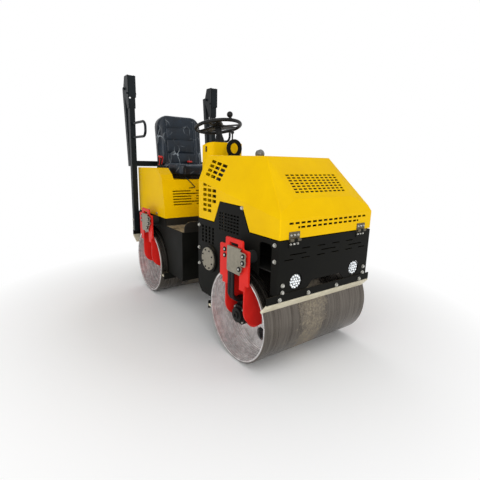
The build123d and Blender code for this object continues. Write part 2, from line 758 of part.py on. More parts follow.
def strip_slots():
    """Cutters for the two rows across the hood's front, the lower one with half slots at its ends."""
    slots = []
    for count, z in STRIP_ROWS:
        slots += slot_grid(front_plane(z), (count, 1), (STRIP_PITCH, STRIP_SLOT[1]), STRIP_SLOT)
    ends = STRIP_ROWS[1][0] * STRIP_PITCH + STRIP_SLOT[0] / 2
    half_slot = (STRIP_SLOT[0] / 2, STRIP_SLOT[1])
    return slots + slot_grid(front_plane(STRIP_ROWS[1][1]), (2, 1), (ends, STRIP_SLOT[1]), half_slot)


def hood():
    """Sheet hood, open below, with a notch in each side and its grids of slots."""
    shell = hood_form(0) - hood_form(SHEET)
    shell -= plate_xz(NOTCH, (-BODY_HALF - SHEET, BODY_HALF + SHEET))
    left = facet_slots() + wall_slots()
    right = [mirror(slot, about=Plane.XZ) for slot in left]
    return shell - [*left, *right, *nose_slots(), *strip_slots()]


def hinge_parts():
    """Left-hand hood hinge: lower leaf with middle knuckle and pin, upper leaf with outer knuckles."""
    knuckle_half = HINGE_WIDTH / 6
    y0, y1 = HINGE_Y - HINGE_WIDTH / 2, HINGE_Y + HINGE_WIDTH / 2
    leaf_x = (FRONT_PANEL_X, FRONT_PANEL_X + HINGE_LEAF)
    inner = (HINGE_Y - knuckle_half, HINGE_Y + knuckle_half)
    centre = (HINGE_X, HINGE_Z)
    lower = block(leaf_x, (y0, y1), (PLATE_TOP - HINGE_LEAF_DROP, PLATE_TOP - HINGE_R))
    lower += block(leaf_x, inner, (PLATE_TOP - HINGE_R, HINGE_Z))
    lower += rod((centre[0], inner[0], centre[1]), (centre[0], inner[1], centre[1]), HINGE_R)
    lower += rod((centre[0], y0, centre[1]), (centre[0], y1, centre[1]), HINGE_PIN_R)
    upper = block(leaf_x, (y0, y1), (HINGE_Z + HINGE_R, HOOD_BOTTOM + HINGE_LEAF_DROP))
    for span in ((y0, inner[0] - FACE_GAP), (inner[1] + FACE_GAP, y1)):
        upper += block(leaf_x, span, (HOOD_BOTTOM, HINGE_Z + HINGE_R))
        upper += rod((centre[0], span[0], centre[1]), (centre[0], span[1], centre[1]), HINGE_R)
    bore = rod((centre[0], y0, centre[1]), (centre[0], y1, centre[1]), HINGE_PIN_R + RUNNING)
    return lower, upper - bore


def hood_dome():
    """Domed cap on a short stem on the hood's roof."""
    dome = rod((0, 0, 0), (0, 0, DOME_STEM), DOME_STEM_R) + Pos(0, 0, DOME_STEM) * Sphere(DOME_R)
    dome -= block((-DOME_R, DOME_R), (-DOME_R, DOME_R), (-DOME_R, 0))
    return Pos(*DOME_AT, HOOD_TOP) * dome


def knuckle():
    """Centre knuckle: upright barrel round the articulation pin and trunnion into the bulkhead's bearing."""
    low, high = JOINT_Z - KNUCKLE_HALF, JOINT_Z + KNUCKLE_HALF
    solid = rod((0, 0, low), (0, 0, high), KNUCKLE_R)
    solid += rod((0, 0, JOINT_Z), (FRONT_REAR + BULKHEAD - FACE_GAP, 0, JOINT_Z), TRUNNION_R)
    return solid - rod((0, 0, low), (0, 0, high), PIN_R + RUNNING)


def toe_board():
    """Board in front of the footwell, with rounded upper corners."""
    x = (REAR_FRONT - DECK, REAR_FRONT)
    board = block(x, (-TOE_HALF, TOE_HALF), (FLOOR_Z, TOE_TOP))
    return fillet(board.edges().filter_by(Axis.X).group_by(Axis.Z)[-1], TOE_ROUND)


def rear_yoke():
    """Wall at the front of the rear half with two lugs and the articulation pin."""
    wall = block(
        (REAR_FRONT - BULKHEAD, REAR_FRONT), (-BODY_INSIDE, BODY_INSIDE), (REAR_BOTTOM, FLOOR_Z - DECK)
    )
    outline = [(REAR_FRONT, -LUG_ROOT_HALF), (0, -LUG_R), (0, LUG_R), (REAR_FRONT, LUG_ROOT_HALF)]
    faces = (JOINT_Z + KNUCKLE_HALF + FACE_GAP, JOINT_Z - KNUCKLE_HALF - FACE_GAP - LUG)
    for low in faces:
        wall += plate_xy(outline, (low, low + LUG))
        wall += rod((0, 0, low), (0, 0, low + LUG), LUG_R)
    return wall + rod((0, 0, faces[1]), (0, 0, faces[0] + LUG), PIN_R)


def rear_side_plate():
    """Left-hand side plate of the rear half: step beside the footwell and arch over the drum."""
    outline = [
        (REAR_FRONT, REAR_BOTTOM),
        (REAR_FRONT, FLOOR_Z),
        (RISER_X, FLOOR_Z),
        (RISER_X, SEAT_DECK_Z),
        (REAR_PANEL_X + PANEL, SEAT_DECK_Z),
        (REAR_PANEL_X + PANEL, PANEL_BOTTOM),
        (REAR_AXLE, PANEL_BOTTOM),
        (REAR_AXLE, REAR_BOTTOM),
    ]
    plate = plate_xz(outline, (BODY_INSIDE, BODY_HALF))
    return plate - rod((REAR_AXLE, 0, AXLE_Z), (REAR_AXLE, BODY_HALF, AXLE_Z), ARCH_R)


def rear_panel():
    """Panel across the rear end."""
    return block(
        (REAR_PANEL_X, REAR_PANEL_X + PANEL), (-BODY_HALF, BODY_HALF), (PANEL_BOTTOM, SEAT_DECK_Z)
    )


def rear_deck():
    """Folded plate: toe board, footwell floor, riser and the deck under the seat box."""
    outline = [
        (REAR_FRONT, FLOOR_Z - DECK),
        (REAR_FRONT, FLOOR_Z),
        (RISER_X, FLOOR_Z),
        (RISER_X, SEAT_DECK_Z),
        (REAR_PANEL_X + PANEL, SEAT_DECK_Z),
        (REAR_PANEL_X + PANEL, SEAT_DECK_Z - DECK),
        (RISER_X - DECK, SEAT_DECK_Z - DECK),
        (RISER_X - DECK, FLOOR_Z - DECK),
    ]
    return plate_xz(outline, (-BODY_INSIDE, BODY_INSIDE)) + toe_board()


def rear_wall():
    """Wall in front of the rear drum that closes the footwell box and carries the inner scraper."""
    x = (REAR_WALL_X, REAR_WALL_X + PANEL)
    return block(x, (-BODY_INSIDE, BODY_INSIDE), (REAR_BOTTOM, FLOOR_Z - DECK))


def seat_box():
    """Sheet seat box, open below, with raised cheeks beside the seat and louvres in its front."""
    front_low, front_high = SEAT_BOX_FRONT
    outline = [front_low, front_high, *CHEEK, (SEAT_BOX_REAR, CHEEK_REAR_Z), (SEAT_BOX_REAR, SEAT_DECK_Z)]
    body = plate_xz(outline, (-BODY_HALF, BODY_HALF))
    body -= block((SEAT_BOX_REAR, front_low[0]), (-CHEEK_INNER, CHEEK_INNER), (SEAT_SHELF_Z, CHEEK[1][1]))
    wall = SEAT_BOX_WALL
    lean = (front_high[0] - front_low[0]) / (front_high[1] - front_low[1])
    core_top = SEAT_SHELF_Z - wall
    core = [
        (front_low[0] - wall, SEAT_DECK_Z),
        (front_low[0] - wall + lean * (core_top - SEAT_DECK_Z), core_top),
        (SEAT_BOX_REAR + wall, core_top),
        (SEAT_BOX_REAR + wall, SEAT_DECK_Z),
    ]
    box = body - plate_xz(core, (wall - BODY_HALF, BODY_HALF - wall))
    louvre_x = (front_high[0] - wall, front_low[0])
    for row, slots in enumerate(LOUVRE_ROWS):
        z = LOUVRE_TOP - row * LOUVRE_PITCH
        box -= [block(louvre_x, y, (z - LOUVRE / 2, z + LOUVRE / 2)) for y in slots]
    return box


def seat_base():
    """Seat pan on its slides."""
    top = SEAT_SHELF_Z + SEAT_BASE
    half = SEAT_HALF - SEAT_PAN_INSET
    pan = block((SEAT_REAR, SEAT_FRONT - SEAT_PAN_INSET), (-half, half), (top - SEAT_PAN, top))
    slide_x = (SEAT_REAR + SLIDE_INSET, SEAT_FRONT - SLIDE_INSET)
    for y in (-SEAT_HALF / 2, SEAT_HALF / 2):
        pan += block(slide_x, (y - SLIDE_HALF, y + SLIDE_HALF), (SEAT_SHELF_Z, top - SEAT_PAN))
    return pan


def seat_cushion():
    """Seat cushion, as a rounded block."""
    low = SEAT_SHELF_Z + SEAT_BASE + SOFT_GAP
    cushion = block((SEAT_REAR, SEAT_FRONT), (-SEAT_HALF, SEAT_HALF), (low, low + CUSHION))
    return fillet(cushion.edges().filter_by(Axis.Z), SEAT_ROUND)


def seat_backrest():
    """Backrest, as a rounded slab that leans back."""
    back = block((-BACK, -SOFT_GAP), (-BACK_HALF, BACK_HALF), (0, BACK_HEIGHT))
    top = back.edges().filter_by(Axis.X).group_by(Axis.Z)[-1]
    return Pos(BACK_X, 0, BACK_FOOT_Z) * Rot(Y=-BACK_LEAN) * fillet(top, BACK_ROUND)


def console_top():
    """Plane of the console's sloping top, square to the steering column."""
    return Plane(origin=(CONSOLE_FRONT, 0, CONSOLE_TOP_Z), x_dir=(0, 1, 0), z_dir=wheel_plane().z_dir)


def console_form():
    """Closed form of the steering console: pedestal and wider head."""
    half = [
        (CONSOLE_FRONT, CONSOLE_HALF),
        (CONSOLE_SIDE_REAR, CONSOLE_HALF),
        (CONSOLE_REAR, CONSOLE_REAR_HALF),
    ]
    outline = half + [(x, -y) for x, y in reversed(half)]
    head = plate_xy(outline, (PEDESTAL_TOP, CONSOLE_TOP_Z))
    head = fillet(head.edges().filter_by(Axis.Z).group_by(Axis.X)[-1], CONSOLE_ROUND)
    pedestal_x = (CONSOLE_REAR, REAR_FRONT - DECK)
    pedestal = block(pedestal_x, (-PEDESTAL_HALF, PEDESTAL_HALF), (FLOOR_Z, PEDESTAL_TOP))
    return split(head + pedestal, console_top(), keep=Keep.BOTTOM)


def console():
    """Steering console, a shell that stands on the floor and is open below."""
    form = console_form()
    return offset(form, amount=-CONSOLE_WALL, openings=form.faces().sort_by(Axis.Z)[0])


def wheel_plane():
    """Plane of the steering wheel, facing the driver."""
    tilt = radians(WHEEL_TILT)
    x, z = WHEEL_CENTRE
    return Plane(origin=(x, 0, z), x_dir=(0, 1, 0), z_dir=(-sin(tilt), 0, cos(tilt)))


def column_drop():
    """Length of the steering column from the wheel's middle down to the console."""
    return (wheel_plane().origin - console_top().origin).dot(wheel_plane().z_dir)


def steering_column():
    """Steering column with its boot and the shaft the wheel turns on."""
    drop = column_drop()
    low = (Align.CENTER, Align.CENTER, Align.MIN)
    column = Cylinder(COLUMN_R, drop - WHEEL_HUB / 2 - FACE_GAP, align=low)
    column += Cylinder(STEERING_SHAFT_R, drop + WHEEL_HUB / 2, align=low)
    column += Cone(COLUMN_BOOT_R, COLUMN_R, COLUMN_BOOT, align=low)
    return wheel_plane() * Pos(0, 0, -drop) * column


def steering_wheel():
    """Steering wheel: rim, spokes, hub and spinner knob."""
    wheel = Torus(WHEEL_R, WHEEL_RIM_R) + Cylinder(WHEEL_HUB_R, WHEEL_HUB)
    for place in PolarLocations(0, SPOKES, start_angle=90):
        wheel += place * Pos(WHEEL_R / 2, 0, 0) * Box(WHEEL_R, SPOKE[0], SPOKE[1])
    wheel -= Cylinder(STEERING_SHAFT_R + RUNNING, WHEEL_HUB * 2)
    neck = Cone(WHEEL_RIM_R, KNOB_R / 3, KNOB_RISE, align=(Align.CENTER, Align.CENTER, Align.MIN))
    wheel += Pos(0, -WHEEL_R, 0) * (neck + Pos(0, 0, KNOB_RISE) * Sphere(KNOB_R))
    return wheel_plane() * wheel


def travel_lever():
    """Travel lever that stands on the console, with its knob."""
    x, y = LEVER_AT
    stem = rod((x, y, PEDESTAL_TOP), (x, y, CONSOLE_TOP_Z + LEVER_LENGTH), LEVER_R)
    stem = split(stem, console_top(), keep=Keep.TOP)
    return stem + Pos(x, y, CONSOLE_TOP_Z + LEVER_LENGTH) * Sphere(LEVER_KNOB_R)


def lifting_post():
    """Upright over the centre joint with the single lifting eye."""
    foot = JOINT_Z + KNUCKLE_HALF + FACE_GAP + LUG
    x = (EYE_X - EYE_PLATE / 2, EYE_X + EYE_PLATE / 2)
    eye = rod((x[0], 0, EYE_Z), (x[1], 0, EYE_Z), EYE_R)
    eye = fillet(eye.edges().filter_by(GeomType.CIRCLE), EYE_ROUND)
    post = eye + block(x, (-POST_HALF, POST_HALF), (foot, EYE_Z))
    return post - rod((x[0], 0, EYE_Z), (x[1], 0, EYE_Z), EYE_HOLE_R)


def rops_bracket(y):
    """Side plate at the post's top that carries the hoop's pivot, between two values of Y."""
    outline = [
        (BRACKET_FRONT, BRACKET_FOOT),
        (BRACKET_FRONT, BRACKET_TOP),
        (BRACKET_TOP_REAR, BRACKET_TOP),
        BRACKET_HEEL,
        (-ROPS_TUBE / 2, BRACKET_REAR_Z),
        (-ROPS_TUBE / 2, BRACKET_FOOT),
    ]
    plate = plate_xz([(ROPS_X + x, z) for x, z in outline], y)
    upper = plate.edges().filter_by(Axis.Y).filter_by(lambda e: e.center().Z > BRACKET_REAR_Z)
    return fillet(upper, BRACKET_ROUND) - rod((ROPS_X, y[0], LOCK_Z), (ROPS_X, y[1], LOCK_Z), LOCK_R)


def rops_post():
    """Left-hand upright of the roll bar with its foot pad, top brackets, pivot pin and stop."""
    half = ROPS_TUBE / 2
    x = (ROPS_X - half, ROPS_X + half)
    y = (ROPS_Y - half, ROPS_Y + half)
    post = block(x, y, (ROPS_FOOT, ROPS_TOP))
    post += block(x, (BODY_HALF, y[0]), (ROPS_FOOT, ROPS_PAD_TOP))
    post += rops_bracket((y[0] - BRACKET, y[0])) + rops_bracket((y[1], y[1] + BRACKET))
    ends = (y[0] - BRACKET - PIVOT_OUT, y[1] + BRACKET + PIVOT_OUT)
    stop_x, stop_z = ROPS_X + STOP_AT[0], STOP_AT[1]
    post += rod((stop_x, ends[0], stop_z), (stop_x, ends[1], stop_z), STOP_R)
    return post + rod((PIVOT_X, ends[0], PIVOT_Z), (PIVOT_X, ends[1], PIVOT_Z), PIVOT_R)


def rops_hoop():
    """Folding hoop of the roll bar, hanging behind the uprights."""
    depth, width = HOOP_TUBE
    x = (-HOOP_OFFSET - depth / 2, -HOOP_OFFSET + depth / 2)
    outside = ROPS_Y + width / 2
    hoop = block(x, (-outside, outside), (-HOOP_DROP, depth - HOOP_DROP))
    for side in (-1, 1):
        y = (side * ROPS_Y - width / 2, side * ROPS_Y + width / 2)
        leg = block(x, y, (-HOOP_DROP, HOOP_HEAD)) + block((x[0], 0), y, (-HOOP_HEAD, HOOP_HEAD))
        leg += rod((0, y[0], 0), (0, y[1], 0), HOOP_HEAD)
        hoop += leg - rod((0, y[0], 0), (0, y[1], 0), PIVOT_R + RUNNING)
    return Pos(PIVOT_X, 0, PIVOT_Z) * Rot(Y=-HOOP_LEAN) * hoop


def grab_handle():
    """Left-hand grab handle, a bent bar on the front of the upright."""
    root = ROPS_X + ROPS_TUBE / 2
    tip = root + HANDLE_REACH
    low, high = HANDLE_Z
    points = [(x, ROPS_Y, z) for x, z in ((root, high), (tip, high), (tip, low), (root, low))]
    path = FilletPolyline(*points, radius=HANDLE_BEND)
    return sweep(Plane(origin=points[0], z_dir=(1, 0, 0)) * Circle(HANDLE_R), path=path)


def build():
    """Every node by name, about the articulation axis."""
    hinge_lower, hinge_upper = hinge_parts()
    front_outer = outer_scraper(FRONT_AXLE, FRONT_PANEL_X, 1)
    front_inner = inner_scraper(FRONT_AXLE, TANK_FRONT, FRONT_BOTTOM, 1)
    rear_outer = outer_scraper(REAR_AXLE, REAR_PANEL_X, -1)
    rear_inner = inner_scraper(REAR_AXLE, REAR_WALL_X, REAR_BOTTOM, -1)
    nodes = {
        "front_side_plates": both_sides(front_side_plate()),
        "front_panel": front_panel(),
        "front_bulkhead": front_bulkhead(),
        "front_deck": front_deck(),
        "front_tank": front_tank(),
        "engine_block": engine_block(),
        "front_lamps": both_sides(front_lamp()),
        "tank_hatch_ring": hatch_ring(),
        "tank_hatch_cover": hatch_cover(),
        "hood_hinge_lower": both_sides(hinge_lower),
        "hood_hinge_upper": both_sides(hinge_upper),
        "hood": hood(),
        "hood_dome": hood_dome(),
        "centre_knuckle": knuckle(),
        "rear_yoke": rear_yoke(),
        "rear_side_plates": both_sides(rear_side_plate()),
        "rear_panel": rear_panel(),
        "rear_deck": rear_deck(),
        "rear_wall": rear_wall(),
        "seat_box": seat_box(),
        "seat_base": seat_base(),
        "seat_cushion": seat_cushion(),
        "seat_backrest": seat_backrest(),
        "console": console(),
        "steering_column": steering_column(),
        "steering_wheel": steering_wheel(),
        "travel_lever": travel_lever(),
        "lifting_post": lifting_post(),
        "rops_posts": both_sides(rops_post()),
        "rops_hoop": rops_hoop(),
        "grab_handles": both_sides(grab_handle()),
        "front_scraper_bars": Compound([*front_outer[0].solids(), *front_inner[0].solids()]),
        "front_scraper_blades": Compound([*front_outer[1].solids(), *front_inner[1].solids()]),
        "rear_scraper_bars": Compound([*rear_outer[0].solids(), *rear_inner[0].solids()]),
        "rear_scraper_blades": Compound([*rear_outer[1].solids(), *rear_inner[1].solids()]),
    }
    for end, axle_x, motor_side in (("front", FRONT_AXLE, -1), ("rear", REAR_AXLE, 1)):
        nodes[f"{end}_drum"] = drum(axle_x)
        nodes[f"{end}_arms"] = both_sides(arm(axle_x))
        nodes[f"{end}_rubber_mounts"] = rubber_mounts(axle_x)
        nodes[f"{end}_covers"] = both_sides(cover(axle_x))
        nodes[f"{end}_drive_motor"] = on_side(drive_motor(axle_x), motor_side)
        nodes[f"{end}_motor_hoses"] = on_side(motor_hoses(axle_x), motor_side)
        nodes[f"{end}_bearing_hub"] = on_side(bearing_hub(axle_x), -motor_side)
    return nodes


os.makedirs("parts", exist_ok=True)
for name, shape in build().items():
    export_step(Pos(-CENTRE_X, 0, -GROUND_Z) * shape, f"parts/{name}.step")
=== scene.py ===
"""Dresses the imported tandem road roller: finishes, padded seat, lamps, fasteners, camera and light."""

from __future__ import annotations

import json
import logging
from dataclasses import dataclass, field, replace
from enum import Enum
from math import cos, pi, radians, sin
from typing import Any, Callable, Iterable

import bpy
from mathutils import Matrix, Vector

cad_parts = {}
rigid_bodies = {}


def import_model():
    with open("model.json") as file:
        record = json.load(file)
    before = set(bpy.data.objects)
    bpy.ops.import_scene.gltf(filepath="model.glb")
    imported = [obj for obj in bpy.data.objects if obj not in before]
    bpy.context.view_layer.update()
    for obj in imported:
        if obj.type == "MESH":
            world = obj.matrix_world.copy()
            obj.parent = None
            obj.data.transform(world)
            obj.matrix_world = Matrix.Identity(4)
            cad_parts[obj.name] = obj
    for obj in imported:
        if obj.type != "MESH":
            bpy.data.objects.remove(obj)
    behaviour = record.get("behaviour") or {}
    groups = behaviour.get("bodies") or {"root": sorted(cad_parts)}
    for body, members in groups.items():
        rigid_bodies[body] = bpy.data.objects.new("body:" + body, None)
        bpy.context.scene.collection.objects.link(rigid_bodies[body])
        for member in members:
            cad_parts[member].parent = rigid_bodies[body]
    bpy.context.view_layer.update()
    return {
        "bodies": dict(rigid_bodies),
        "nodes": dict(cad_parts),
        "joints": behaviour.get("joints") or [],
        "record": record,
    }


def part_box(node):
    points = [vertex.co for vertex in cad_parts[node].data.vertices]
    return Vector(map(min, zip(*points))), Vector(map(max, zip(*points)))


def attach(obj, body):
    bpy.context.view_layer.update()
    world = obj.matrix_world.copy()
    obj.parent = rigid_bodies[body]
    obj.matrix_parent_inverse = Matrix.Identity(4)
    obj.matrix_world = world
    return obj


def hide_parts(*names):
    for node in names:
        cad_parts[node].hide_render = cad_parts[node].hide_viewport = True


log = logging.getLogger("roller")

MM = 0.001
IMAGE = 480
SENSOR_MM = 36.0
ALONG = 0.9
WHITE = "#FFFFFF"

Object = bpy.types.Object
Node = bpy.types.Node
Socket = bpy.types.NodeSocket
Span = tuple[float, float]
Point = tuple[float, float, float]
Test = Callable[[Vector, Vector], bool]


def linear(code: str) -> tuple[float, float, float, float]:
    """Turns an sRGB hex colour into linear red, green, blue and alpha.

    Args:
        code: Six hex digits with a leading hash.

    Returns:
        The four linear channels.
    """
    parts = [int(code[i : i + 2], 16) / 255 for i in (1, 3, 5)]
    shades = [p / 12.92 if p <= 0.04045 else ((p + 0.055) / 1.055) ** 2.4 for p in parts]
    return (shades[0], shades[1], shades[2], 1.0)


def add_node(
    tree: bpy.types.NodeTree,
    kind: str,
    settings: dict[str | int, Any] | None = None,
    links: dict[str | int, Socket] | None = None,
) -> Node:
    """Adds one node with its settings and incoming links.

    Args:
        tree: The node tree that gets the node.
        kind: Blender's name of the node type.
        settings: Input defaults by name or number, or node properties by attribute name.
        links: Output sockets by the input's name or number.

    Returns:
        The new node.
    """
    node = tree.nodes.new(kind)
    for key, value in (settings or {}).items():
        if isinstance(key, int) or key in node.inputs:
            node.inputs[key].default_value = value
        else:
            setattr(node, key, value)
    for key, output in (links or {}).items():
        tree.links.new(output, node.inputs[key])
    return node


def upright(way: Vector) -> Matrix:
    """Gives the turn that takes a piece modelled facing up to some direction."""
    return way.to_track_quat("Z", "Y").to_matrix().to_4x4()


def looks(axis: str, sign: int = 1) -> Test:
    """Gives a test for faces that look along an axis."""
    return lambda _, way: getattr(way, axis) * sign > ALONG


def runs(axis: str, least: float = ALONG) -> Test:
    """Gives a test for edges or normals along an axis, either way."""
    return lambda _, way: abs(getattr(way, axis)) > least


def anything(_: Vector, __: Vector) -> bool:
    """Passes every element."""
    return True


class Body(Enum):
    """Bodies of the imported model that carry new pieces."""

    REAR = "rear_frame"
    FRONT = "front_frame"
    HOOD = "hood"
    WHEEL = "steering_wheel"


class Slot(Enum):
    """Material slots of the record."""

    YELLOW = "yellow_paint"
    BLACK = "black_paint"
    RED = "red_paint"
    DRUM = "drum_steel"
    ZINC = "zinc_steel"
    RUBBER = "rubber"
    HOSE = "hose_rubber"
    BLADE = "blade_plastic"
    SEAT = "seat_vinyl"
    LENS = "lamp_lens"
    IRON = "engine_iron"
    PLASTIC = "black_plastic"


class Facing(Enum):
    """Directions in which a fastener or fitting faces."""

    FRONT = (1, 0, 0)
    REAR = (-1, 0, 0)
    LEFT = (0, 1, 0)
    RIGHT = (0, -1, 0)

    def turn(self) -> Matrix:
        """Gives the turn that takes a piece modelled facing up to this direction."""
        return upright(Vector(self.value))


class Pick(Enum):
    """Kinds of mesh element that a selection takes."""

    POINTS = "VERT"
    EDGES = "EDGE"
    FACES = "FACE"


@dataclass
class Graph:
    """A node tree and the kinds of node that its users share."""

    tree: bpy.types.NodeTree

    def noise(self, at: Socket, size_mm: float, **settings: float) -> Socket:
        """Adds noise at a real size and gives its factor."""
        settings["Scale"] = 1 / (size_mm * MM)
        return add_node(self.tree, "ShaderNodeTexNoise", settings, {"Vector": at}).outputs["Fac"]

    def ramp(self, value: Socket, span: Span = (0.0, 1.0), to: Span = (0.0, 1.0)) -> Socket:
        """Maps one span of values onto another, clamped at its ends."""
        ends = {"From Min": span[0], "From Max": span[1], "To Min": to[0], "To Max": to[1]}
        return add_node(self.tree, "ShaderNodeMapRange", ends, {"Value": value}).outputs["Result"]

    def blend(self, share: Socket, low: str | Socket, high: str | Socket) -> Socket:
        """Mixes two colours.

        Args:
            share: How much of the second colour shows.
            low: The first colour, as a hex code or a socket.
            high: The second colour.

        Returns:
            The mixed colour.
        """
        shades = {6: low, 7: high}
        codes = {key: linear(shade) for key, shade in shades.items() if isinstance(shade, str)}
        links = {key: shade for key, shade in shades.items() if key not in codes}
        settings = {"data_type": "RGBA", **codes}
        return add_node(self.tree, "ShaderNodeMix", settings, {0: share, **links}).outputs[2]

    def fade(self, share: Socket, value: Socket, end: float) -> Socket:
        """Mixes a value with a constant."""
        return add_node(self.tree, "ShaderNodeMix", {3: end}, {0: share, 2: value}).outputs[0]

    def sums(self, kind: str, operation: str, values: tuple[Any, ...]) -> Node:
        """Adds one sum of sockets and constants.

        Args:
            kind: Blender's name of the node type.
            operation: What the sum does.
            values: Its inputs in their order.

        Returns:
            The new node.
        """
        links = {key: value for key, value in enumerate(values) if isinstance(value, Socket)}
        constants = {key: value for key, value in enumerate(values) if key not in links}
        return add_node(self.tree, kind, {"operation": operation, **constants}, links)

    def maths(self, operation: str, *values: Socket | float) -> Socket:
        """Adds one sum of numbers."""
        return self.sums("ShaderNodeMath", operation, values).outputs[0]

    def vector(self, operation: str, *values: Socket | Point) -> Node:
        """Adds one sum of vectors."""
        return self.sums("ShaderNodeVectorMath", operation, values)

    def mapped(self, at: Socket, **settings: Point) -> Socket:
        """Moves or stretches coordinates."""
        return add_node(self.tree, "ShaderNodeMapping", settings, {"Vector": at}).outputs["Vector"]

    def split(self, at: Socket, axis: str) -> Socket:
        """Takes one number of a vector."""
        return add_node(self.tree, "ShaderNodeSeparateXYZ", None, {0: at}).outputs[axis]

    def bump(self, height: Socket, depth_mm: float) -> Socket:
        """Turns heights into a bumped normal."""
        settings = {"Distance": depth_mm * MM}
        return add_node(self.tree, "ShaderNodeBump", settings, {"Height": height}).outputs["Normal"]


@dataclass
class Surface(Graph):
    """A material's nodes, with its shader and its texture coordinates."""

    shader: Node = field(init=False)
    place: Socket = field(init=False)
    normal: Socket = field(init=False)

    def __post_init__(self) -> None:
        """Finds the shader and adds the coordinates."""
        self.shader = self.tree.nodes["Principled BSDF"]
        coordinates = add_node(self.tree, "ShaderNodeTexCoord").outputs
        self.place, self.normal = coordinates["Object"], coordinates["Normal"]

    def feed(self, inputs: dict[str, Any]) -> None:
        """Links sockets to the shader's inputs, or sets constants on them.

        Args:
            inputs: A socket or a constant for each input's name.
        """
        for name, value in inputs.items():
            if isinstance(value, Socket):
                self.tree.links.new(value, self.shader.inputs[name])
            else:
                self.shader.inputs[name].default_value = value


@dataclass(frozen=True)
class Finish:
    """A surface with slow colour patches, a fine grain and dust on its upward faces; on the seat the same
    mask lays a painted sheen of reflected sky.
    """

    name: str
    light: str
    dark: str
    rough: Span
    patch_mm: float = 180.0
    grain_mm: float = 12.0
    grain_depth_mm: float = 0.05
    metallic: float = 0.0
    specular: float = 0.5
    coat: float = 0.0
    dust_and_sheen: float = 0.0
    dust_and_sheen_colour: str = "#A2947A"
    dust_and_sheen_rough: float = 0.9
    drift_mm: float = 70.0

    def material(self) -> bpy.types.Material:
        """Builds the finish as a node material.

        Returns:
            The material, ready to assign.
        """
        made = bpy.data.materials.new(self.name)
        made.use_nodes = True
        surface = Surface(made.node_tree)
        surface.feed({"Metallic": self.metallic, "Coat Weight": self.coat})
        surface.feed({"Specular IOR Level": self.specular})
        self.colour(surface)
        self.relief(surface)
        return made

    def colour(self, surface: Surface) -> None:
        """Links the colour patches, their roughness and the dust, which on the seat is a painted sheen.

        Args:
            surface: The material's nodes.
        """
        patches = surface.noise(surface.place, self.patch_mm, Detail=6.0, Roughness=0.6)
        spread = surface.ramp(patches, span=(0.3, 0.7))
        shade, gloss = surface.blend(spread, self.dark, self.light), surface.ramp(spread, to=self.rough)
        # Dust on the painted parts; on the seat vinyl this is a painted sheen of reflected sky on the upward
        # faces.
        if self.dust_and_sheen:
            laid = self.dusting_and_sheen(surface)
            shade = surface.blend(laid, shade, self.dust_and_sheen_colour)
            gloss = surface.fade(laid, gloss, self.dust_and_sheen_rough)
        surface.feed({"Base Color": shade, "Roughness": gloss})

    def dusting_and_sheen(self, surface: Surface) -> Socket:
        """Finds where dust lies, and on the seat a painted sheen: in drifts on the faces that look up.

        Args:
            surface: The material's nodes.

        Returns:
            How much dust covers the surface; on the seat, how much painted sheen.
        """
        upward = surface.ramp(surface.split(surface.normal, "Z"), span=(0.6, 0.95))
        drifts = surface.noise(surface.place, self.drift_mm, Detail=8.0, Roughness=0.7)
        return surface.maths("MULTIPLY", upward, surface.ramp(drifts, span=(0.32, 0.62), to=(0.0, self.dust_and_sheen)))

    def relief(self, surface: Surface) -> None:
        """Links the fine grain as a bump."""
        grain = surface.noise(surface.place, self.grain_mm, Detail=3.0)
        surface.feed({"Normal": surface.bump(grain, self.grain_depth_mm)})


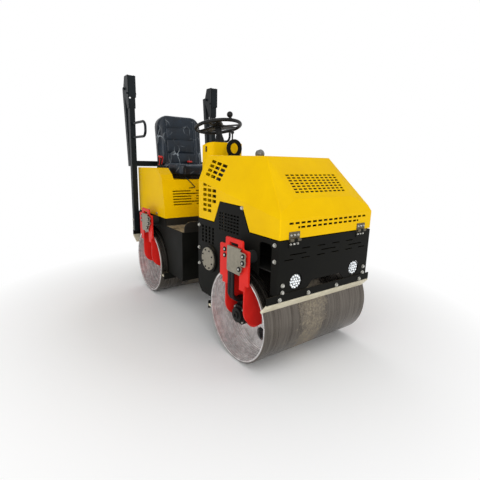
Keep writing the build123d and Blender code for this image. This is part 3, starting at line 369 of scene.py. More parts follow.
@dataclass(frozen=True)
class DrumSteel(Finish):
    """Rolled shell polished in rings by the ground and caked with soil in the middle; raw steel inside,
    painted nearly white as painted light from sun falling into the drum.
    """

    axle: Span = (0.0, 0.0)
    # Raw steel inside, painted nearly white: painted light standing in for sun falling into the drum.
    inside: tuple[str, str] = ("#B3B0AF", "#F3F1F0")
    inside_radius_mm: float = 291.0
    skin_mm: float = 2.0
    mill_mm: float = 90.0
    ring_mm: float = 15.0
    ring_stretch: float = 0.03
    soil: tuple[str, str] = ("#665B4C", "#B4A891")
    soil_span_mm: Span = (-190.0, 60.0)
    soil_rough: float = 0.85
    clod_mm: float = 60.0
    grit_mm: float = 14.0

    def colour(self, surface: Surface) -> None:
        """Links the polish rings, the raw inside with its painted light, and the soil band.

        Args:
            surface: The material's nodes.
        """
        centred = surface.mapped(surface.place, Location=(-self.axle[0], 0.0, -self.axle[1]))
        drawn = surface.mapped(centred, Scale=(self.ring_stretch, 1.0, self.ring_stretch))
        rings = surface.noise(drawn, self.ring_mm, Detail=7.0, Roughness=0.65)
        spread = surface.ramp(rings, span=(0.32, 0.68))
        shell = surface.blend(spread, self.dark, self.light)
        mill = surface.noise(centred, self.mill_mm, Detail=8.0, Roughness=0.7, Distortion=1.5)
        # The inside's pale tone is painted light over the raw steel.
        lit_raw_steel = surface.blend(surface.ramp(mill, span=(0.35, 0.65)), *self.inside)
        outer = self.outer(surface, centred)
        clods = surface.noise(centred, self.clod_mm, Detail=12.0, Roughness=0.85)
        caked = self.caked(surface, centred, clods, outer)
        tone = surface.blend(caked, surface.blend(outer, lit_raw_steel, shell), surface.blend(clods, *self.soil))
        gloss = surface.fade(caked, surface.ramp(spread, to=self.rough), self.soil_rough)
        # Soil and the pale, painted-light inside both turn less metallic.
        soil_and_lit_inside = surface.maths("MAXIMUM", caked, surface.ramp(outer, to=(0.5, 0.0)))
        bare = surface.ramp(soil_and_lit_inside, to=(self.metallic, 0.15))
        surface.feed({"Base Color": tone, "Roughness": gloss, "Metallic": bare})

    def outer(self, surface: Surface, centred: Socket) -> Socket:
        """Finds the outer skin by its distance from the axle.

        Args:
            surface: The material's nodes.
            centred: Coordinates about the axle.

        Returns:
            One on the outer skin and nought inside.
        """
        flat = surface.vector("MULTIPLY", centred, (1.0, 0.0, 1.0)).outputs["Vector"]
        radius = surface.vector("LENGTH", flat).outputs["Value"]
        low, high = ((self.inside_radius_mm + side * self.skin_mm) * MM for side in (-1, 1))
        return surface.ramp(radius, span=(low, high))

    def caked(self, surface: Surface, centred: Socket, clods: Socket, outer: Socket) -> Socket:
        """Finds where soil clings: a ragged band round the middle of the outer skin.

        Args:
            surface: The material's nodes.
            centred: Coordinates about the axle.
            clods: The soil's noise.
            outer: One on the outer skin.

        Returns:
            How much soil covers the steel.
        """
        low, high = (end * MM for end in self.soil_span_mm)
        middle, half = (low + high) / 2, (high - low) / 2
        away = surface.maths("ABSOLUTE", surface.maths("SUBTRACT", surface.split(centred, "Y"), middle))
        band = surface.ramp(away, span=(half * 1.7, half * 0.3), to=(-0.22, 0.14))
        cover = surface.ramp(surface.maths("ADD", band, clods), span=(0.47, 0.58), to=(0.0, 0.85))
        grit = surface.noise(centred, self.grit_mm, Detail=3.0, Roughness=0.7)
        specks = surface.ramp(grit, span=(0.42, 0.6), to=(0.25, 1.0))
        return surface.maths("MULTIPLY", surface.maths("MULTIPLY", cover, specks), outer)


@dataclass(frozen=True)
class WrappedVinyl(Finish):
    """Grained vinyl under a clear film, with painted glints of light along the film's creases."""

    crease_glint: str = "#C4CED6"
    film_rough: float = 0.12
    crease_mm: float = 80.0
    crease_depth_mm: float = 3.0
    crease_push: float = 0.16

    def crease_glints(self, surface: Surface) -> Socket:
        """Draws painted glints along the film's creases as bent cell edges, strong in some places and faint
        in others.

        Args:
            surface: The material's nodes.

        Returns:
            How white the crease is, and nought between creases.
        """
        waves = surface.noise(surface.place, 2.2 * self.crease_mm, Detail=1.5).node.outputs["Color"]
        push = (self.crease_push,) * 3
        pushed = surface.vector("MULTIPLY_ADD", waves, push, surface.place).outputs["Vector"]
        cells = add_node(
            surface.tree,
            "ShaderNodeTexVoronoi",
            {"feature": "DISTANCE_TO_EDGE", "Scale": 1 / (self.crease_mm * MM)},
            {"Vector": surface.mapped(pushed, Scale=(1.0, 1.0, 0.3))},
        )
        line = surface.ramp(cells.outputs["Distance"], span=(0.0, 0.035), to=(0.6, 0.0))
        taut = surface.noise(surface.place, 1.6 * self.crease_mm, Detail=3.0)
        return surface.maths("MULTIPLY", line, surface.ramp(taut, span=(0.42, 0.66)))

    def colour(self, surface: Surface) -> None:
        """Links the vinyl's patches under the painted glints on the film's creases.

        Args:
            surface: The material's nodes.
        """
        super().colour(surface)
        vinyl = surface.shader.inputs["Base Color"].links[0].from_socket
        shown = self.crease_glints(surface)
        raised = surface.bump(shown, self.crease_depth_mm)
        # Pale crease lines in the base colour: painted glints of light on the film.
        pale = surface.blend(shown, vinyl, self.crease_glint)
        surface.feed({"Base Color": pale, "Coat Normal": raised, "Coat Roughness": self.film_rough})


@dataclass(frozen=True)
class Webbing(Finish):
    """Woven strap: crossing ribs at the thread spacing."""

    rib_mm: float = 4.0
    rib_depth_mm: float = 0.4

    def relief(self, surface: Surface) -> None:
        """Links the ribs as a bump.

        Args:
            surface: The material's nodes.
        """
        ribs = add_node(
            surface.tree,
            "ShaderNodeTexWave",
            {"Scale": 1 / (self.rib_mm * MM) / (2 * pi), "bands_direction": "DIAGONAL"},
            {"Vector": surface.place},
        )
        surface.feed({"Normal": surface.bump(ribs.outputs["Fac"], self.rib_depth_mm)})


@dataclass(frozen=True)
class ClearPlastic(Finish):
    """Moulded lens: clear all through, with faint flow marks."""

    ior: float = 1.585

    def colour(self, surface: Surface) -> None:
        """Links the patches and makes the plastic clear."""
        super().colour(surface)
        surface.feed({"Transmission Weight": 1.0, "IOR": self.ior})


# Baked enamel on folded sheet: even, half gloss, with orange peel drawn coarse enough to show.
YELLOW_ENAMEL = Finish("yellow_enamel", "#F4C500", "#ECBB00", (0.42, 0.5), grain_depth_mm=0.06, specular=0.06)
# Two-pack chassis paint on plate: satin black with road dust on its ledges.
CHASSIS_BLACK = Finish("chassis_black_paint", "#151512", "#0C0C0A", (0.45, 0.6), specular=0.07, dust_and_sheen=0.12)
# The same paint on the driver's floor, trodden with dry soil.
FLOOR_BLACK = Finish("trodden_black_paint", "#211E19", "#15130F", (0.5, 0.65), specular=0.25, dust_and_sheen=0.95)
# Powder coat on tube: a cool black, smoother than the chassis.
TUBE_BLACK = Finish("tube_powder_coat", "#161C20", "#0D1215", (0.36, 0.48), specular=0.14, dust_and_sheen=0.08)
# Sprayed enamel on welded plate: bright red with soft peel, drawn coarse enough to show.
RED_ENAMEL = Finish("red_enamel", "#E42A22", "#D0201A", (0.38, 0.48), specular=0.15, dust_and_sheen=0.1)
# Rolled mild steel: brushed in rings where it rolls, with soil in the middle and a raw inside painted nearly
# white as painted light from sun falling into the drum.
DRUM_STEEL = DrumSteel(
    "rolled_drum_steel", "#736D66", "#4D4741", (0.2, 0.36), grain_mm=20, grain_depth_mm=0.12, metallic=0.95
)
# Hot-dip galvanised sheet: dull warm grey with soft spangle.
GALVANISED = Finish("galvanised_steel", "#928C7D", "#7B7566", (0.45, 0.58), patch_mm=22, metallic=0.35)
# Bright zinc plate on bolts: silvery, a little uneven.
BRIGHT_ZINC = Finish("bright_zinc_plate", "#CFCEC8", "#9F9D95", (0.24, 0.36), patch_mm=14, metallic=1.0)
# Zinc plate on the upper hinge: dark, brownish; partly the dull barrel's own tone, partly painted shade of
# the screw heads' shadows laid over a leaf that is yellow.
ZINC_WITH_PAINTED_SHADE = Finish("zinc_plate_with_painted_shade", "#6E6753", "#484236", (0.42, 0.55), patch_mm=16, metallic=0.5)
# Blackened steel screws: dark, a little oily.
BLACK_OXIDE = Finish("black_oxide_steel", "#24231F", "#161513", (0.38, 0.5), patch_mm=14, metallic=0.6)
# Moulded nylon cap: mid grey with a soft shine.
GREY_NYLON = Finish("moulded_nylon", "#727371", "#575856", (0.22, 0.32), patch_mm=24, coat=0.3)
# Moulded natural rubber: matt with a little bloom.
MOULDED_RUBBER = Finish("moulded_rubber", "#181716", "#0F0F0F", (0.7, 0.85), patch_mm=30, specular=0.3)
# Extruded hose cover: smooth dark rubber with a faint wrap.
HOSE_RUBBER = Finish(
    "hose_cover_rubber", "#161616", "#0D0D0D", (0.38, 0.5), patch_mm=25, grain_mm=5, specular=0.25
)
# Cast polyurethane scraper strip: cream, waxy, scuffed.
SCRAPER_URETHANE = Finish("cast_polyurethane", "#E4DCC4", "#CBC2A8", (0.42, 0.6), patch_mm=60)
# Calendered seat vinyl: dark navy leather grain under a clear, creased delivery film, with painted glints
# along its creases and, through the dust mask, a blue-grey painted sheen of reflected sky on its upward
# faces.
SEAT_VINYL = WrappedVinyl(
    "seat_vinyl",
    "#1B2733",
    "#0E141C",
    (0.4, 0.52),
    patch_mm=120,
    grain_mm=6,
    grain_depth_mm=0.35,
    specular=0.15,
    coat=0.25,
    # Painted sheen of reflected sky on the upward faces, laid in blue-grey through the dust mask.
    dust_and_sheen=0.5,
    dust_and_sheen_colour="#76808A",
)
# Painted cast iron: rough sand-cast skin under black paint.
CAST_IRON = Finish(
    "painted_cast_iron", "#1B1B19", "#10100F", (0.48, 0.62), grain_mm=5, grain_depth_mm=0.35, specular=0.2
)
# Grained ABS moulding: even black with a fine spark texture.
GRAINED_ABS = Finish(
    "grained_abs", "#151516", "#0D0D0E", (0.4, 0.5), patch_mm=60, grain_mm=5, grain_depth_mm=0.1, specular=0.2
)
# Moulded red ABS of the buckle: even and glossy.
RED_ABS = Finish("red_abs", "#DF2A22", "#C9221B", (0.25, 0.34), patch_mm=40, coat=0.1)
# Woven polyester belt: black, dull, ribbed along the strap.
BELT_WEBBING = Webbing("woven_polyester", "#191919", "#101010", (0.75, 0.88), patch_mm=20)
# Vacuum-metallised reflector cup: bright mirror, a little dulled.
REFLECTOR = Finish("metallised_reflector", "#F4F5F6", "#D9DCDF", (0.1, 0.2), patch_mm=10, metallic=1.0)
# Phosphor over a light-emitting diode: pale yellow-white and matt.
PHOSPHOR = Finish("diode_phosphor", "#FFFBE6", "#F1E9C4", (0.45, 0.6), patch_mm=6)
# Clear moulded polycarbonate: glossy lens over the reflectors.
CLEAR_POLYCARBONATE = ClearPlastic("clear_polycarbonate", "#FBFCFD", "#F1F4F6", (0.02, 0.06), patch_mm=25)
# Blow-moulded polyethylene tank: black, waxy, with a soft ripple.
TANK_POLYETHYLENE = Finish(
    "moulded_polyethylene", "#1B1B1A", "#121211", (0.5, 0.62), patch_mm=90, grain_mm=30, grain_depth_mm=0.4
)
# Brazed aluminium cooler core: dull silver with dust between the fins.
COOLER_ALUMINIUM = Finish("brazed_aluminium", "#6E6F70", "#4A4B4C", (0.4, 0.55), patch_mm=40, metallic=0.8)

SLOT_FINISHES: dict[Slot, Finish] = {
    Slot.YELLOW: YELLOW_ENAMEL,
    Slot.BLACK: CHASSIS_BLACK,
    Slot.RED: RED_ENAMEL,
    Slot.DRUM: DRUM_STEEL,
    Slot.ZINC: GALVANISED,
    Slot.RUBBER: MOULDED_RUBBER,
    Slot.HOSE: HOSE_RUBBER,
    Slot.BLADE: SCRAPER_URETHANE,
    Slot.SEAT: SEAT_VINYL,
    Slot.LENS: CLEAR_POLYCARBONATE,
    Slot.IRON: CAST_IRON,
    Slot.PLASTIC: GRAINED_ABS,
}
NODE_FINISHES: dict[str, Finish] = {
    "front_deck": CAST_IRON,
    "rear_deck": FLOOR_BLACK,
    "rops_posts": TUBE_BLACK,
    "rops_hoop": TUBE_BLACK,
    "grab_handles": TUBE_BLACK,
    "hood_dome": GREY_NYLON,
    # The upper leaf's dark zinc is partly painted shade of its screw heads.
    "hood_hinge_upper": ZINC_WITH_PAINTED_SHADE,
    "hood_hinge_lower": CHASSIS_BLACK,
}


@dataclass
class Work:
    """A piece on the bench. Its moves are in millimetres and act on what was picked last."""

    piece: Object

    @staticmethod
    def close() -> None:
        """Leaves edit mode."""
        if bpy.context.mode != "OBJECT":
            bpy.ops.object.mode_set(mode="OBJECT")

    @staticmethod
    def only(*pieces: Object) -> None:
        """Selects some pieces and nothing else, with the first one active.

        Args:
            pieces: The pieces, none of them open for editing afterwards.
        """
        Work.close()
        bpy.ops.object.select_all(action="DESELECT")
        for piece in pieces:
            piece.select_set(True)
        bpy.context.view_layer.objects.active = pieces[0]

    @classmethod
    def start(cls, shape: Callable[..., Any], **sizes: Any) -> Work:
        """Adds one primitive with its place in its mesh.

        Args:
            shape: The operator that adds it.
            sizes: Its sizes and place, in metres.

        Returns:
            The new piece.
        """
        Work.close()
        bpy.ops.object.select_all(action="DESELECT")
        shape(**sizes)
        bpy.ops.object.transform_apply(location=True, rotation=True, scale=True)
        return cls(bpy.context.active_object)

    @classmethod
    def between(cls, low: Vector, high: Vector) -> Work:
        """Starts a block between two corners given in metres."""
        return cls.start(bpy.ops.mesh.primitive_cube_add, size=1, location=(low + high) / 2, scale=high - low)

    @classmethod
    def box(cls, size: Point, at: Point = (0, 0, 0)) -> Work:
        """Starts a block about a point."""
        sizes = {"location": [value * MM for value in at], "scale": [value * MM for value in size]}
        return cls.start(bpy.ops.mesh.primitive_cube_add, size=1, **sizes)

    @classmethod
    def disc(cls, sides: int, radius: float, depth: float, foot: float = 0.0) -> Work:
        """Starts an upright cylinder on the axis, with its foot at some height."""
        sizes = {"radius": radius * MM, "depth": depth * MM, "location": (0, 0, (foot + depth / 2) * MM)}
        return cls.start(bpy.ops.mesh.primitive_cylinder_add, vertices=sides, **sizes)

    @staticmethod
    def join(works: list[Work]) -> Work:
        """Joins pieces into the first one.

        Args:
            works: What to join.

        Returns:
            The joined piece.
        """
        Work.only(*(work.piece for work in works))
        bpy.ops.object.join()
        return works[0]

    def pick(self, kind: Pick, test: Test) -> Work:
        """Opens the piece in edit mode with the elements selected that pass a test.

        Args:
            kind: What to select.
            test: Takes an element's middle and its normal, or an edge's direction.

        Returns:
            The piece.
        """
        self.only(self.piece)
        bpy.ops.object.mode_set(mode="EDIT")
        bpy.ops.mesh.select_mode(type=kind.value)
        bpy.ops.mesh.select_all(action="DESELECT")
        bpy.ops.object.mode_set(mode="OBJECT")
        mesh = self.piece.data
        if kind is Pick.FACES:
            for face in mesh.polygons:
                face.select = test(face.center, face.normal)
        elif kind is Pick.EDGES:
            for edge in mesh.edges:
                start, end = (mesh.vertices[index].co for index in edge.vertices)
                edge.select = test((start + end) / 2, (end - start).normalized())
        else:
            for point in mesh.vertices:
                point.select = test(point.co, point.normal)
        bpy.ops.object.mode_set(mode="EDIT")
        return self

    def faces(self, test: Test) -> Work:
        """Picks faces by their middles and normals."""
        return self.pick(Pick.FACES, test)

    def edges(self, test: Test) -> Work:
        """Picks edges by their middles and directions."""
        return self.pick(Pick.EDGES, test)

    def points(self, test: Test) -> Work:
        """Picks points by their places and normals."""
        return self.pick(Pick.POINTS, test)

    def move(self, x: float, y: float, z: float) -> Work:
        """Moves what is picked."""
        bpy.ops.transform.translate(value=(x * MM, y * MM, z * MM))
        return self

    def resize(self, x: float, y: float, z: float) -> Work:
        """Scales what is picked about its middle."""
        bpy.ops.transform.resize(value=(x, y, z))
        return self

    def bevel(self, width: float, segments: int) -> Work:
        """Rounds the picked edges."""
        bpy.ops.mesh.bevel(offset=width * MM, segments=segments)
        return self

    def extrude(self, x: float, y: float, z: float) -> Work:
        """Draws the picked faces out."""
        bpy.ops.mesh.extrude_region_move(TRANSFORM_OT_translate={"value": (x * MM, y * MM, z * MM)})
        return self

    def draw(self, *steps: Span) -> Work:
        """Draws the picked faces up and scales them, step by step.

        Args:
            steps: Each step's rise and scale.

        Returns:
            The piece.
        """
        for rise, scale in steps:
            self.extrude(0, 0, rise).resize(scale, scale, 1)
        return self

    def inset(self, *steps: Span) -> Work:
        """Insets the picked faces and lifts them, step by step.

        Args:
            steps: Each step's inset and lift.

        Returns:
            The piece.
        """
        for margin, lift in steps:
            bpy.ops.mesh.inset(thickness=margin * MM)
            self.move(0, 0, lift)
        return self

    def swell(self, depth: float) -> Work:
        """Draws the picked faces out along their normals, or in."""
        bpy.ops.mesh.extrude_region_shrink_fatten(TRANSFORM_OT_shrink_fatten={"value": depth * MM})
        return self

    def panel(self, margin: float, depth: float) -> Work:
        """Insets each picked face by itself and swells it out, or sinks it in."""
        bpy.ops.mesh.inset(thickness=margin * MM, use_individual=True)
        return self.swell(depth)

    def cut(self, at: Point, normal: Point) -> Work:
        """Cuts every face along a plane.

        Args:
            at: A point on the plane.
            normal: The plane's normal.

        Returns:
            The piece.
        """
        self.faces(anything)
        bpy.ops.mesh.bisect(plane_co=[value * MM for value in at], plane_no=normal)
        return self

    def tint(self, *materials: bpy.types.Material) -> Work:
        """Gives the piece its materials, with the second one on the picked faces.

        Args:
            materials: The two materials.

        Returns:
            The piece.
        """
        self.close()
        for material in materials:
            self.piece.data.materials.append(material)
        for face in self.piece.data.polygons:
            face.material_index = int(face.select)
        return self

    def apply(self, kind: str, **settings: Any) -> None:
        """Adds one modifier to the piece and applies it.

        Args:
            kind: Blender's name of the modifier type.
            settings: The modifier's settings.
        """
        self.only(self.piece)
        modifier = self.piece.modifiers.new(kind.lower(), kind)
        for key, value in settings.items():
            setattr(modifier, key, value)
        bpy.ops.object.modifier_apply(modifier=modifier.name)

    def smooth(self, degrees: float = 35.0) -> Work:
        """Shades the piece smooth apart from its sharp edges.

        Args:
            degrees: The least angle of a sharp edge.

        Returns:
            The piece.
        """
        self.only(self.piece)
        bpy.ops.object.shade_smooth_by_angle(angle=radians(degrees))
        return self

    def place(self, matrix: Matrix) -> Work:
        """Turns and moves the whole mesh.

        Args:
            matrix: The turn and place.

        Returns:
            The piece.
        """
        self.close()
        self.piece.data.transform(matrix)
        return self

    def twin(self, matrix: Matrix) -> Work:
        """Copies the piece with a mesh of its own.

        Args:
            matrix: The turn and place of the copy.

        Returns:
            The copy.
        """
        self.close()
        copy = self.piece.copy()
        copy.data = self.piece.data.copy()
        bpy.context.collection.objects.link(copy)
        return Work(copy).place(matrix)

    def remove(self) -> None:
        """Takes a model away that was only copied."""
        bpy.data.objects.remove(self.piece)

    def spread(self, matrices: Iterable[Matrix]) -> Work:
        """Puts copies of a model in their places as one piece and takes the model away.

        Args:
            matrices: The copies' turns and places.

        Returns:
            The joined copies.
        """
        copies = self.join([self.twin(matrix) for matrix in matrices])
        self.remove()
        return copies


@dataclass
class Machine:
    """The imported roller: its own axes about the articulation, and its materials."""

    frame: dict[str, Any]
    built: dict[Finish, bpy.types.Material] = field(default_factory=dict)
    axis_x: float = 0.0

    def __post_init__(self) -> None:
        """Finds the articulation axis half way between the drums."""
        self.axis_x = (self.axle("front_drum")[0] + self.axle("rear_drum")[0]) / 2

    def axle(self, drum: str) -> Span:
        """Gives a drum's axle as its x and height in metres."""
        low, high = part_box(drum)
        return ((low[0] + high[0]) / 2, (low[2] + high[2]) / 2)

    def at(self, x: float, y: float, z: float) -> Vector:
        """Turns millimetres about the articulation axis into the shared frame's metres."""
        return Vector((x * MM + self.axis_x, y * MM, z * MM))

    def to(self, x: float, y: float, z: float) -> Matrix:
        """Gives the move to a place in millimetres about the articulation axis."""
        return Matrix.Translation(self.at(x, y, z))

    def block(self, x: Span, half: float, z: Span) -> Work:
        """Starts a block across the middle plane, in millimetres about the articulation axis."""
        return Work.between(self.at(x[0], -half, z[0]), self.at(x[1], half, z[1]))

    def material(self, finish: Finish) -> bpy.types.Material:
        """Gives a finish's material, made once.

        Args:
            finish: The finish.

        Returns:
            Its material.
        """
        if finish not in self.built:
            self.built[finish] = finish.material()
        return self.built[finish]

    def dress_nodes(self) -> None:
        """Gives every carried-over node its finish."""
        finishes = dict(NODE_FINISHES)
        for drum in ("front_drum", "rear_drum"):
            finishes[drum] = replace(DRUM_STEEL, name=f"{drum}_steel", axle=self.axle(drum))
        for part in self.frame["record"]["subparts"]:
            name = part["node"]
            finish = finishes.get(name, SLOT_FINISHES[Slot(part["material_slot"])])
            node = self.frame["nodes"][name]
            node.data.materials.clear()
            node.data.materials.append(self.material(finish))
            log.info("node %s: %s", name, finish.name)

    def fit(self, work: Work, name: str, body: Body, slot: Slot, finish: Finish | None = None) -> Object:
        """Names and dresses a new piece and fixes it to the body that carries it.

        Args:
            work: The piece, already in its place.
            name: Its name.
            body: The body it moves with.
            slot: The record's slot it belongs to; not used.
            finish: Its finish, unless it has been tinted.

        Returns:
            The finished piece.
        """
        Work.close()
        piece = work.piece
        piece.name = piece.data.name = name
        if finish:
            piece.data.materials.append(self.material(finish))
        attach(piece, body.value)
        log.info("piece %s on %s", piece.name, body.value)
        return piece


@dataclass
class Assembly:
    """A group of new pieces on the roller, with its sizes in millimetres."""

    machine: Machine


@dataclass(frozen=True)
class Spot:
    """Where one fastener sits, in the machine's millimetres, and which way it faces."""

    place: Point
    facing: Facing


AXLES = (725.0, -725.0)
AXLE_Z = 300.0
ARM_Y = 470.0
COVER_Y = 488.0
COVER_SPOTS = ((120.0, 714.0), (119.0, 675.0), (84.0, 630.0))
SIDES = ((-1, Facing.RIGHT), (1, Facing.LEFT))


@dataclass
class HexBolt:
    """Hex bolt head on a plain washer."""

    across: float = 17.0
    head: float = 7.0
    chamfer: Span = (1.3, 0.8)
    washer: float = 25.0
    washer_thick: float = 2.5
    washer_edge: Span = (0.7, 0.5)

    def model(self) -> Work:
        """Models the bolt at the origin, facing up.

        Returns:
            The bolt.
        """
        washer = Work.disc(20, self.washer / 2, self.washer_thick).faces(looks("z")).inset(self.washer_edge)
        corner = self.across / 2 / cos(pi / 6)
        head = Work.disc(6, corner, self.head, foot=self.washer_thick).faces(looks("z")).inset(self.chamfer)
        return Work.join([head, washer])


@dataclass
class Grommet:
    """Rubber washer with a sunk screw head, as on the cover plates."""

    radius: float = 15.0
    rise: float = 4.0
    edge: float = 2.2
    crown: float = 3.0
    screw_radius: float = 7.5
    screw_gap: float = 1.0
    screw_steps: tuple[Span, ...] = ((1.2, 0.9), (2.2, -2.2))

    def rubber(self) -> Work:
        """Models the rubber ring at the origin, facing up.

        Returns:
            The ring.
        """
        seat = self.radius - self.edge - self.screw_radius - self.screw_gap
        steps = ((self.edge, self.crown), (seat, -self.crown))
        return Work.disc(20, self.radius, self.rise).faces(looks("z")).inset(*steps).smooth()

    def screw(self) -> Work:
        """Models the socket screw in the ring."""
        head = Work.disc(16, self.screw_radius, self.crown, foot=self.rise)
        return head.faces(looks("z")).inset(*self.screw_steps)


@dataclass
class Fasteners(Assembly):
    """Every visible bolt on the frame, hood, covers, motors and bearings."""

    front_x: float = 1043.0
    front_z: Span = (537.0, 578.0)
    rear_x: float = -1090.0
    rear_z: Span = (560.0, 690.0)
    panel_y: Span = (-358.0, 358.0)
    bar_out: float = 6.0
    bar_y: tuple[float, ...] = (-380.0, -156.0, 93.0, 321.0)
    bar_z: float = 500.0
    side_y: float = 395.0
    front_sides: tuple[Span, ...] = ((1008, 804), (1012, 712), (169, 783), (169, 615), (172, 494), (697, 968))
    rear_sides: tuple[Span, ...] = ((-820.0, 767.0), (-632.0, 756.0))
    post_feet: tuple[Span, ...] = ((-1065.0, 640.0), (-1065.0, 556.0))
    arm_spots: tuple[Span, ...] = ((-95.0, 711.0), (-95.0, 673.0))
    hinge_x: float = 1046.0
    hinge_y: tuple[float, ...] = (-316.0, -290.0, -264.0, 264.0, 290.0, 316.0)
    hinge_z: Span = (808.0, 858.0)
    hatch_at: Point = (325.0, -419.0, 564.0)
    hatch_ring: tuple[float, int] = (66.0, 8)
    hub_y: float = 351.0
    hub_ring: tuple[float, int] = (70.0, 6)
    motor_y: float = 421.0
    motor_ring: tuple[float, int] = (58.0, 4)
    twist_deg: float = 37.0

    def panel(self, x: float, heights: Span, facing: Facing) -> list[Spot]:
        """Lists the bolts of an end panel and of the scraper bar under it.

        Args:
            x: The panel's face.
            heights: The panel bolts' heights.
            facing: Which way the panel faces.

        Returns:
            The spots.
        """
        bar_x = x + facing.value[0] * self.bar_out
        spots = [Spot((x, y, z), facing) for y in self.panel_y for z in heights]
        return spots + [Spot((bar_x, y, self.bar_z), facing) for y in self.bar_y]

    def both_sides(self, *rows: tuple[float, tuple[Span, ...]], x: float = 0.0) -> list[Spot]:
        """Lists bolts at the same places on the right and the left.

        Args:
            rows: Each row's distance from the middle plane, with its places along and up.
            x: What the places along are counted from.

        Returns:
            The spots.
        """
        places = [(x + along, y, up) for y, row in rows for along, up in row]
        return [Spot((along, side * y, up), facing) for side, facing in SIDES for along, y, up in places]

    def ring(self, centre: Point, radius: float, count: int, facing: Facing) -> list[Spot]:
        """Spaces bolts round a centre on a side face.

        Args:
            centre: The circle's middle.
            radius: Its radius.
            count: How many bolts.
            facing: Which way they face.

        Returns:
            The spots.
        """
        x, y, z = centre
        angles = [2 * pi * (step + 0.5) / count for step in range(count)]
        return [Spot((x + radius * cos(a), y, z + radius * sin(a)), facing) for a in angles]

    def spread(self, model: Work, spots: list[Spot]) -> Work:
        """Copies a fastener to its spots, each turned a little further, and joins the copies.

        Args:
            model: The fastener at the origin.
            spots: Where the copies go.

        Returns:
            The joined fasteners.
        """
        copies = []
        for number, spot in enumerate(spots):
            spun = Matrix.Rotation(radians(self.twist_deg * number), 4, "Z")
            copies.append(model.twin(self.machine.to(*spot.place) @ spot.facing.turn() @ spun))
        return Work.join(copies)

    def build(self) -> None:
        """Models each kind of fastener once and spreads it over the machine."""
        bolt = HexBolt().model()
        small = HexBolt(across=9, head=4, chamfer=(0.8, 0.8), washer=13, washer_thick=1.2).model()
        grommet, screw = Grommet().rubber(), Grommet().screw()
        (front, rear), left, right = AXLES, Facing.LEFT, Facing.RIGHT
        front_bolts = self.panel(self.front_x, self.front_z, Facing.FRONT)
        front_bolts += self.both_sides((self.side_y, self.front_sides))
        front_bolts += self.ring((front, self.hub_y, AXLE_Z), *self.hub_ring, left)
        rear_bolts = self.panel(self.rear_x, self.rear_z, Facing.REAR)
        rear_bolts += self.both_sides((self.side_y, self.rear_sides), (ARM_Y, self.post_feet))
        rear_bolts += self.ring((rear, -self.hub_y, AXLE_Z), *self.hub_ring, right)
        front_motor = self.ring((front, -self.motor_y, AXLE_Z), *self.motor_ring, right)
        rear_motor = self.ring((rear, self.motor_y, AXLE_Z), *self.motor_ring, left)
        lower, upper = (
            [Spot((self.hinge_x, y, z), Facing.FRONT) for y in self.hinge_y] for z in self.hinge_z
        )
        covers = (ARM_Y, self.arm_spots), (COVER_Y, COVER_SPOTS)
        front_covers, rear_covers = (self.both_sides(*covers, x=axle) for axle in AXLES)
        hatch = self.ring(self.hatch_at, *self.hatch_ring, right)
        plans = [
            (bolt, "front_bolts", front_bolts, Body.FRONT, Slot.ZINC, BRIGHT_ZINC),
            (bolt, "rear_bolts", rear_bolts, Body.REAR, Slot.ZINC, BRIGHT_ZINC),
            (small, "hatch_screws", hatch, Body.FRONT, Slot.ZINC, BLACK_OXIDE),
            (small, "front_motor_screws", front_motor, Body.FRONT, Slot.ZINC, BRIGHT_ZINC),
            (small, "rear_motor_screws", rear_motor, Body.REAR, Slot.ZINC, BRIGHT_ZINC),
            (small, "hinge_screws_lower", lower, Body.FRONT, Slot.ZINC, BRIGHT_ZINC),
            (small, "hinge_screws_upper", upper, Body.HOOD, Slot.ZINC, BRIGHT_ZINC),
            (grommet, "front_cover_grommets", front_covers, Body.FRONT, Slot.RUBBER, MOULDED_RUBBER),
            (screw, "front_cover_screws", front_covers, Body.FRONT, Slot.ZINC, BRIGHT_ZINC),
            (grommet, "rear_cover_grommets", rear_covers, Body.REAR, Slot.RUBBER, MOULDED_RUBBER),
            (screw, "rear_cover_screws", rear_covers, Body.REAR, Slot.ZINC, BRIGHT_ZINC),
        ]
        for model, name, spots, *carried in plans:
            self.machine.fit(self.spread(model, spots), name, *carried)
        for model in (bolt, small, grommet, screw):
            model.remove()


